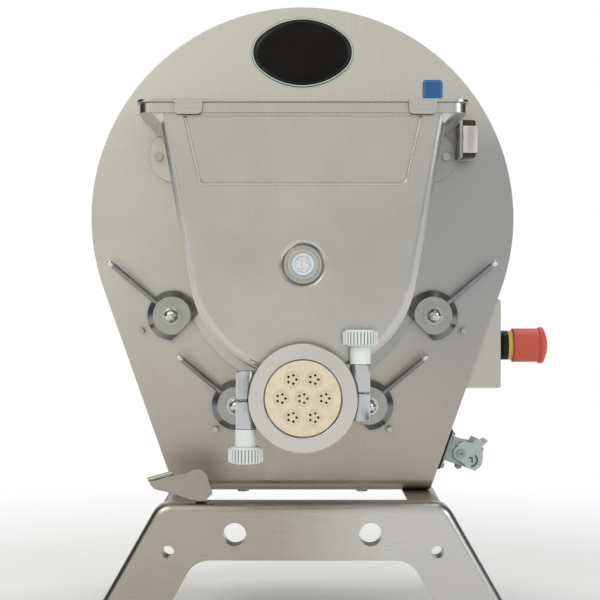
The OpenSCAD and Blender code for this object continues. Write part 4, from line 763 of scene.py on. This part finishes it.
class PASTA_OT_extruder(bpy.types.Operator):
    """Finish the barrel, auger, shaft seals, die and ring nut"""
    bl_idname = "pasta.extruder"
    bl_label = "Extruder and die"

    def execute(self, context):
        look = context.scene.pasta_finishes
        dress(satin_casting("barrel_casting", look.tub), "barrel", "auger")
        dress(self.turned("ring_nut_steel", look.ring, look.wear_and_sheen), "die_ring")
        dress(self.floury("die_bronze", look.die), "die_plate")
        dress(self.floury("insert_bronze", toned(look.die, 0.93)), "die_inserts")
        dress(soft_rubber("seal_rubber", grey(0.03)), "shaft_seals")
        return {"FINISHED"}

    @staticmethod
    def turned(name, colour, wear_and_sheen):
        """Lathe-turned steel: rings about the barrel's axis, from sines of the radius.

        Fine ones make the bump, and broad ones, a little ragged, shade the colour."""
        fine, broad, ragged = 0.45 * MM, 2.3 * MM, 0.002
        f = Finish(name)
        reach = f.away((0.0, 0.0, AUGER_Z))
        clouds = f.noise(14.0, 3.0, 0.6)
        shifted = f.calc("ADD", reach, f.calc("MULTIPLY", clouds, ragged))
        rings = f.calc("SINE", f.calc("MULTIPLY", reach, 2.0 * math.pi / fine))
        bands = f.calc("SINE", f.calc("MULTIPLY", shifted, 2.0 * math.pi / broad))
        body = f.mix(f.span(bands, -1.0, 1.0, 0.0, 0.10), f.shades(clouds, colour, 0.95, 1.04),
                     toned(colour, 0.7))
        eased = f.rounded(0.8)
        # Edges painted brighter: worn bright by handling, and a painted highlight too.
        body = f.mix(f.calc("MULTIPLY", f.edges(eased), wear_and_sheen), body, toned(colour, 1.3))
        return f.finished(Base_Color=body, Metallic=1.0,
                          Roughness=f.span(clouds, 0.3, 0.7, 0.26, 0.34),
                          Normal=f.bump(rings, 0.3, 0.004, eased))

    @staticmethod
    def floury(name, colour):
        """Bronze with a dull film of flour: specks and blotches over a satin face."""
        f = Finish(name)
        blots = f.noise(120.0, 5.0, 0.65, 0.6)
        grit = f.noise(1500.0, 3.0, 0.7)
        specks = f.cells(420.0)
        body = f.shades(blots, colour, 0.94, 1.04, 0.35, 0.65)
        body = f.mix(f.span(specks, 0.25, 0.05, 0.0, 0.5), body, (0.88, 0.80, 0.68))
        body = f.mix(f.span(grit, 0.50, 0.66, 0.0, 0.45), body, toned(colour, 0.66))
        return f.finished(Base_Color=body, Metallic=0.25,
                          Roughness=f.span(blots, 0.3, 0.7, 0.5, 0.66),
                          Normal=f.bump(grit, 0.5, 0.03, f.rounded(0.4)))


class PASTA_OT_clamps(bpy.types.Operator):
    """Finish the two clamps: chrome knuckles, steel pins and pale knobs"""
    bl_idname = "pasta.clamps"
    bl_label = "Clamps"

    def execute(self, context):
        look = context.scene.pasta_finishes
        dress(mirror_metal("knuckle_chrome", (0.54, 0.55, 0.56), rough=0.10, ease=1.6, wave=3.0),
              "clamp_collar")
        dress(mirror_metal("pin_steel", (0.55, 0.55, 0.54), rough=0.2),
              "left_clamp_pin", "right_clamp_pin")
        dress(moulded("knob_plastic", look.knob, rough=0.34, speck=0.04, ease=0.4, skin=0.01,
                      coat=0.2, groove_shade=2.2), "left_clamp_knob", "right_clamp_knob")
        return {"FINISHED"}


class PASTA_OT_cams(bpy.types.Operator):
    """Finish the four cam locks, each with a brushed face, dark chamfer and a lever tip painted
    bright as a highlight
    """
    bl_idname = "pasta.cams"
    bl_label = "Cam locks"

    def execute(self, context):
        for level, reach in CAM_REACH.items():
            for side in ("left", "right"):
                cam = f"cam_{level}_{side}"
                stud = np.divide(JOINTS[cam + "_turn"]["pos_m"], MM)
                dress(self.cam_steel(cam + "_steel", stud, reach), cam)
        dress(mirror_metal("nut_chrome", (0.62, 0.62, 0.60), rough=0.08, ease=0.5), "cam_nuts")
        return {"FINISHED"}

    @staticmethod
    def cam_steel(name, centre, reach):
        """Bands by distance from the stud: pale face, dark chamfer, grey rod, and a tip painted
        bright as a highlight.
        """
        tip_glint_start, tip_glint_full = reach - 7.0, reach - 4.0
        f = Finish(name)
        r = f.away(centre)
        clouds = f.noise(30.0, 3.0, 0.6)
        lines = f.noise((1300.0, 60.0, 1300.0), 2.0, 0.6)
        face = f.mix(f.span(clouds, 0.3, 0.7), (0.38, 0.38, 0.355), (0.455, 0.455, 0.42))
        dark = f.mix(f.span(clouds, 0.3, 0.7), (0.24, 0.25, 0.25), (0.32, 0.33, 0.33))
        body = f.mix(f.span(r, CAM_FACE_R * MM, (CAM_FACE_R + 0.5) * MM), face, dark)
        # Painted highlight: the lever's tip painted bright.
        body = f.mix(f.span(r, tip_glint_start * MM, tip_glint_full * MM), body, grey(0.80))
        body = f.mix(f.span(lines, 0.4, 0.7, 0.0, 0.15), body, grey(0.2))
        return f.finished(Base_Color=body, Metallic=1.0,
                          Roughness=f.span(clouds, 0.3, 0.7, 0.27, 0.36),
                          Normal=f.bump(lines, 0.25, 0.006, f.rounded(0.6)))


# ---- Drive ----


class PASTA_OT_drive(bpy.types.Operator):
    """Finish the gearbox, gears, bearings, motor and electrical box inside the casing"""
    bl_idname = "pasta.drive"
    bl_label = "Drive"

    def execute(self, context):
        dress(sheet_metal("gearbox_alloy", grey(0.50), rough=0.42, grain=400.0, wear_and_sheen=0.4,
                          ease=1.0, depth=0.03), "gearbox_front_plate", "gearbox_rear_plate")
        dress(sheet_metal("gear_steel", (0.34, 0.34, 0.35), rough=0.28, grain=500.0, ease=0.4),
              "auger_gear", "mixer_gear", "motor_rotor")
        dress(mirror_metal("bearing_steel", grey(0.58), rough=0.14), "shaft_bearings")
        dress(moulded("motor_paint", (0.07, 0.15, 0.25), rough=0.4, speck=0.1, ease=1.0,
                      skin=0.03, coat=0.3), "motor_housing")
        dress(moulded("fan_plastic", (0.70, 0.69, 0.64), rough=0.5, speck=0.06), "motor_fan")
        dress(moulded("electrical_box_plastic", (0.05, 0.05, 0.055), rough=0.5, speck=0.2),
              "electrical_box")
        dress(moulded("gland_plastic", (0.035, 0.035, 0.04), rough=0.45, speck=0.2),
              "cable_gland")
        return {"FINISHED"}


# ---- Controls and socket ----


class PASTA_OT_controls(bpy.types.Operator):
    """Finish the buttons, bezels and selector on the control box"""
    bl_idname = "pasta.controls"
    bl_label = "Controls"

    def execute(self, context):
        look = context.scene.pasta_finishes
        dress(moulded("stop_red", look.stop, rough=0.45, speck=0.06, ease=1.2, skin=0.01),
              "stop_button")
        dress(self.collar("collar_bands", look.collar), "stop_collar")
        dress(moulded("start_green", (0.04, 0.30, 0.10), rough=0.34, speck=0.06, ease=0.8,
                      skin=0.01, coat=0.25), "start_button")
        dress(moulded("control_black", (0.014, 0.012, 0.009), rough=0.4, speck=0.2, shine=0.2),
              "selector_knob", "control_bezels")
        return {"FINISHED"}

    @staticmethod
    def collar(name, yellow):
        """Yellow plastic, with a black band on the side of the machine's middle plane."""
        f = Finish(name)
        clouds = f.noise(40.0, 3.0)
        black_end = f.span(f.part(X), COLLAR_BLACK_X * MM, (COLLAR_BLACK_X + 1.0) * MM)
        body = f.mix(black_end, (0.008, 0.007, 0.004), f.shades(clouds, yellow, 0.92, 1.06))
        return f.finished(Base_Color=body, Roughness=f.span(clouds, 0.3, 0.7, 0.35, 0.45),
                          Normal=f.bump(f.noise(2000.0, 2.0), 0.2, 0.01, f.rounded(0.5)),
                          Specular_IOR_Level=0.1)


class PASTA_OT_socket(bpy.types.Operator):
    """Finish the power socket: gasket, housing, cover and locking lever"""
    bl_idname = "pasta.socket"
    bl_label = "Power socket"

    def execute(self, context):
        look = context.scene.pasta_finishes
        dress(soft_rubber("gasket_rubber", (0.006, 0.024, 0.018)), "socket_gasket")
        dress(moulded("socket_plastic", look.socket, rough=0.45, speck=0.06, groove_shade=5.0),
              "socket_housing", "socket_cover")
        dress(moulded("socket_lever_paint", toned(look.socket, 1.3), rough=0.38, speck=0.05,
                      ease=0.5, skin=0.01, coat=0.2, groove_shade=4.0), "socket_lever")
        return {"FINISHED"}


# ---- Stand ----


class PASTA_OT_stand(bpy.types.Operator):
    """Finish the stand, its feet and small lever, and weld its rails to the frames"""
    bl_idname = "pasta.stand"
    bl_label = "Stand"

    def execute(self, context):
        look, trim = context.scene.pasta_finishes, context.scene.pasta_trim
        # Painted light: the stand sheet lighter towards its right side.
        right = (X, -0.05, 0.10, tuple(look.stand_right_lit))
        dress(sheet_metal("stand_sheet", look.stand, rough=0.32, grain=(26.0, 300.0, 900.0),
                          wear_and_sheen=look.wear_and_sheen, ease=1.2, painted_light_fades=(right,), blotch=0.07),
              "stand_front_frame", "stand_rear_frame")
        dress(sheet_metal("rail_sheet", toned(look.stand, 0.95), rough=0.36,
                          grain=(900.0, 24.0, 900.0), wear_and_sheen=look.wear_and_sheen, ease=1.0),
              "stand_left_rail", "stand_right_rail")
        dress(soft_rubber("foot_rubber", grey(0.03)), "stand_feet")
        dress(sheet_metal("lever_sheet", toned(look.stand, 0.85), rough=0.32,
                          grain=(200.0, 200.0, 500.0), wear_and_sheen=look.wear_and_sheen, ease=0.5), "stand_lever")
        bead = sheet_metal("weld_metal", (0.40, 0.37, 0.33), rough=0.3, grain=500.0, wear_and_sheen=0.3,
                           ease=0.5, depth=0.03, blotch=0.15)
        add_piece("stand_welds", joined(self.welds(trim.weld / MM)), bead)
        return {"FINISHED"}

    @staticmethod
    def welds(radius):
        """Beads down the rails' outer flanges, at the front and rear frame on both sides.

        Each runs from just under the top of the rail to just above its lower edge."""
        low_x = RAIL_X + RAIL_DROP * math.tan(STAND_SPLAY)
        out = (math.cos(STAND_SPLAY), math.sin(STAND_SPLAY))
        return [weld_bead((side * (RAIL_X + 0.6), y, STAND_Z - 1.5),
                          (side * (low_x + 0.2), y, STAND_Z - RAIL_DROP + 1.0),
                          (side * out[0], 0.0, out[1]), (0.0, way, 0.0), radius)
                for side in (-1.0, 1.0) for y, way in ((STAND_FRONT_Y, 1.0), (STAND_REAR_Y, -1.0))]


# ---- Stage ----

# Camera and aim of the lamps in metres, and the camera's focal length in millimetres
CAMERA_PLACE = (-0.0028, -1.5, 0.372)
CAMERA_LENS = 81.84
LAMP_AIM = (0.0, 0.05, 0.38)

# Floor: its middle in millimetres, and how far from it in metres it starts to turn white
FLOOR_MIDDLE = (0.0, 100.0, 0.0)
WHITE_START, WHITE_FULL = 0.40, 1.25

# Lamps: name, place, width, share of the key lamp's power, tint
LAMPS = (
    ("key_lamp", (-1.3, -1.7, 1.9), 1.5, 1.0, (1.0, 0.98, 0.95)),
    ("fill_lamp", (1.7, -1.4, 1.1), 1.2, 0.45, (0.97, 0.98, 1.0)),
    ("top_lamp", (0.1, 0.5, 2.3), 1.6, 0.9, WHITE),
)

# Walls of the room that metal reflects: degrees from the front towards the right side, colour
ROOM_WALLS = (
    (-180, WHITE), (-150, grey(0.95)), (-128, grey(0.04)), (-104, (0.04, 0.04, 0.05)),
    (-74, (0.04, 0.04, 0.05)), (-60, (0.95, 0.98, 1.0)), (-46, WHITE), (-30, (0.74, 0.74, 0.73)),
    (-12, (0.94, 0.92, 0.88)), (4, (0.88, 0.87, 0.84)), (18, grey(0.66)), (38, (0.42, 0.44, 0.47)),
    (56, (0.36, 0.39, 0.43)), (66, (0.80, 0.85, 0.90)), (78, grey(0.06)), (128, grey(0.04)),
    (150, grey(0.95)), (180, WHITE),
)

# Their brightness: half of 1 + the sine of the elevation, level
ROOM_LEVELS = ((0.0, 0.25), (0.40, 0.5), (0.50, 0.78), (0.60, 1.0), (0.80, 0.8), (1.0, 0.9))


class PASTA_OT_stage(bpy.types.Operator):
    """Pale floor, white surroundings, soft lamps and the camera"""
    bl_idname = "pasta.stage"
    bl_label = "Stage"

    def execute(self, context):
        values = context.scene.pasta_stage
        self.floor(values.floor_radius)
        self.room(context.scene, values.room_light)
        for name, place, width, share, tint in LAMPS:
            self.lamp(context.scene, name, place, width, share * values.lamp_power, tint)
        self.camera(context.scene)
        context.scene.view_settings.view_transform = "Standard"
        return {"FINISHED"}

    def floor(self, radius):
        """Disc z = 0 whose rings stand at radius * u^2, closed by a face in the middle."""
        u = np.linspace(0.02, 1.0, 24)[:, None] ** 2 * radius
        x, y = arc((0.0, 0.0), 1.0, turn(96)).T
        grid = points(u * x, u * y, 0.0)
        rows, columns = grid.shape[:2]
        centre = tuple(range(columns))
        mesh = bpy.data.meshes.new("floor")
        mesh.from_pydata(grid.reshape(-1, 3).tolist(), [], grid_faces(rows, columns) + [centre])
        mesh.materials.append(self.floor_paint())
        disc = bpy.data.objects.new("floor", mesh)
        bpy.context.scene.collection.objects.link(disc)

    @staticmethod
    def floor_paint():
        """Pale paint near the machine, and plain white far from it where a ray sees it openly."""
        f = Finish("floor_paint")
        wash = f.span(f.noise(3.0, 3.0), 0.3, 0.7)
        paint = f.mix(wash, (0.80, 0.80, 0.79), (0.84, 0.84, 0.83))
        ray = f.node("ShaderNodeLightPath").outputs
        open_ray = f.calc("MAXIMUM", ray["Is Camera Ray"],
                          f.calc("MAXIMUM", ray["Is Glossy Ray"], ray["Is Transmission Ray"]))
        far = f.span(f.away(FLOOR_MIDDLE, flat=Z), WHITE_START, WHITE_FULL)
        glow = f.fill(f.node("ShaderNodeEmission"), Strength=1.0)
        blend = f.node("ShaderNodeMixShader")
        for index, value in enumerate((f.calc("MULTIPLY", far, open_ray), f.shader.outputs[0],
                                       glow.outputs[0])):
            f.feed(blend.inputs[index], value)
        f.feed(f.out.inputs[0], blend.outputs[0])
        return f.finished(Base_Color=paint, Roughness=0.6)

    @staticmethod
    def room(scene, strength):
        """Room as the metal sees it: warm wall in front, cool soft boxes at both sides, dark
        gaps past them and the white backdrop behind. Seen directly it is white all round.

        Both ramps run over the direction: once round the z axis, and from low to high."""
        world = bpy.data.worlds.new("studio")
        world.use_nodes = True
        scene.world = world
        g = Graph(world.node_tree)
        x, y, z = g.parts(g.node("ShaderNodeTexCoord").outputs["Generated"])
        bearing = g.calc("ARCTAN2", x, g.calc("MULTIPLY", y, -1.0))
        walls = g.ramp(g.calc("MULTIPLY_ADD", bearing, 0.5 / math.pi, 0.5),
                       [(0.5 + degrees / 360.0, colour) for degrees, colour in ROOM_WALLS])
        levels = g.ramp(g.calc("MULTIPLY_ADD", z, 0.5, 0.5),
                        [(place, grey(level)) for place, level in ROOM_LEVELS])
        ray = g.node("ShaderNodeLightPath").outputs
        lit = g.mix(ray["Is Glossy Ray"], grey(strength), g.mix(1.0, walls, levels, "MULTIPLY"))
        direct = g.calc("MAXIMUM", ray["Is Camera Ray"], ray["Is Transmission Ray"])
        sky = g.fill(g.node("ShaderNodeBackground"), Color=g.mix(direct, lit, WHITE),
                     Strength=1.0)
        g.feed(g.node("ShaderNodeOutputWorld").inputs[0], sky.outputs[0])

    @staticmethod
    def lamp(scene, name, place, width, power, tint):
        """Round soft lamp turned to the middle of the machine."""
        data = bpy.data.lights.new(name, "AREA")
        data.shape = "DISK"
        data.size = width
        data.energy = power
        data.color = tint
        lamp = bpy.data.objects.new(name, data)
        x, y, z = np.subtract(LAMP_AIM, place)
        lamp.location = place
        lamp.rotation_euler = (math.atan2(math.hypot(x, y), -z), 0.0,
                               math.atan2(y, x) - math.pi / 2.0)
        scene.collection.objects.link(lamp)

    @staticmethod
    def camera(scene):
        """Level camera in front of the plate, a little lower than the mixer's axis."""
        data = bpy.data.cameras.new("camera")
        data.sensor_fit = "HORIZONTAL"
        data.sensor_width = 36.0
        data.lens = CAMERA_LENS
        data.clip_start = 0.05
        data.clip_end = 50.0
        camera = bpy.data.objects.new("camera", data)
        camera.location = CAMERA_PLACE
        camera.rotation_euler = (math.pi / 2.0, 0.0, 0.0)
        scene.collection.objects.link(camera)
        scene.camera = camera


class PASTA_PT_machine(bpy.types.Panel):
    """Pieces and finishes of the pasta maker"""
    bl_idname = "PASTA_PT_machine"
    bl_label = "Electric pasta maker"
    bl_space_type = "VIEW_3D"
    bl_region_type = "UI"
    bl_category = "Pasta maker"

    def draw(self, context):
        for step in STEPS:
            self.layout.operator(step.bl_idname)
        for group in ("pasta_finishes", "pasta_trim", "pasta_stage"):
            box = self.layout.box()
            values = getattr(context.scene, group)
            for key in values.bl_rna.properties.keys():
                if key not in ("name", "rna_type"):
                    box.prop(values, key)


STEPS = (PASTA_OT_casing, PASTA_OT_badge, PASTA_OT_tub, PASTA_OT_lid, PASTA_OT_extruder,
         PASTA_OT_clamps, PASTA_OT_cams, PASTA_OT_drive, PASTA_OT_controls, PASTA_OT_socket,
         PASTA_OT_stand, PASTA_OT_stage)
GROUPS = (PastaMakerFinishes, PastaMakerTrim, PastaMakerStage)


def register():
    for kind in GROUPS + STEPS + (PASTA_PT_machine,):
        bpy.utils.register_class(kind)
    bpy.types.Scene.pasta_finishes = bpy.props.PointerProperty(type=PastaMakerFinishes)
    bpy.types.Scene.pasta_trim = bpy.props.PointerProperty(type=PastaMakerTrim)
    bpy.types.Scene.pasta_stage = bpy.props.PointerProperty(type=PastaMakerStage)


def unregister():
    del bpy.types.Scene.pasta_stage
    del bpy.types.Scene.pasta_trim
    del bpy.types.Scene.pasta_finishes
    for kind in reversed(GROUPS + STEPS + (PASTA_PT_machine,)):
        bpy.utils.unregister_class(kind)


def main():
    """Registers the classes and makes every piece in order."""
    register()
    for step in STEPS:
        group, call = step.bl_idname.split(".")
        getattr(getattr(bpy.ops, group), call)()


if __name__ == "__main__":
    main()
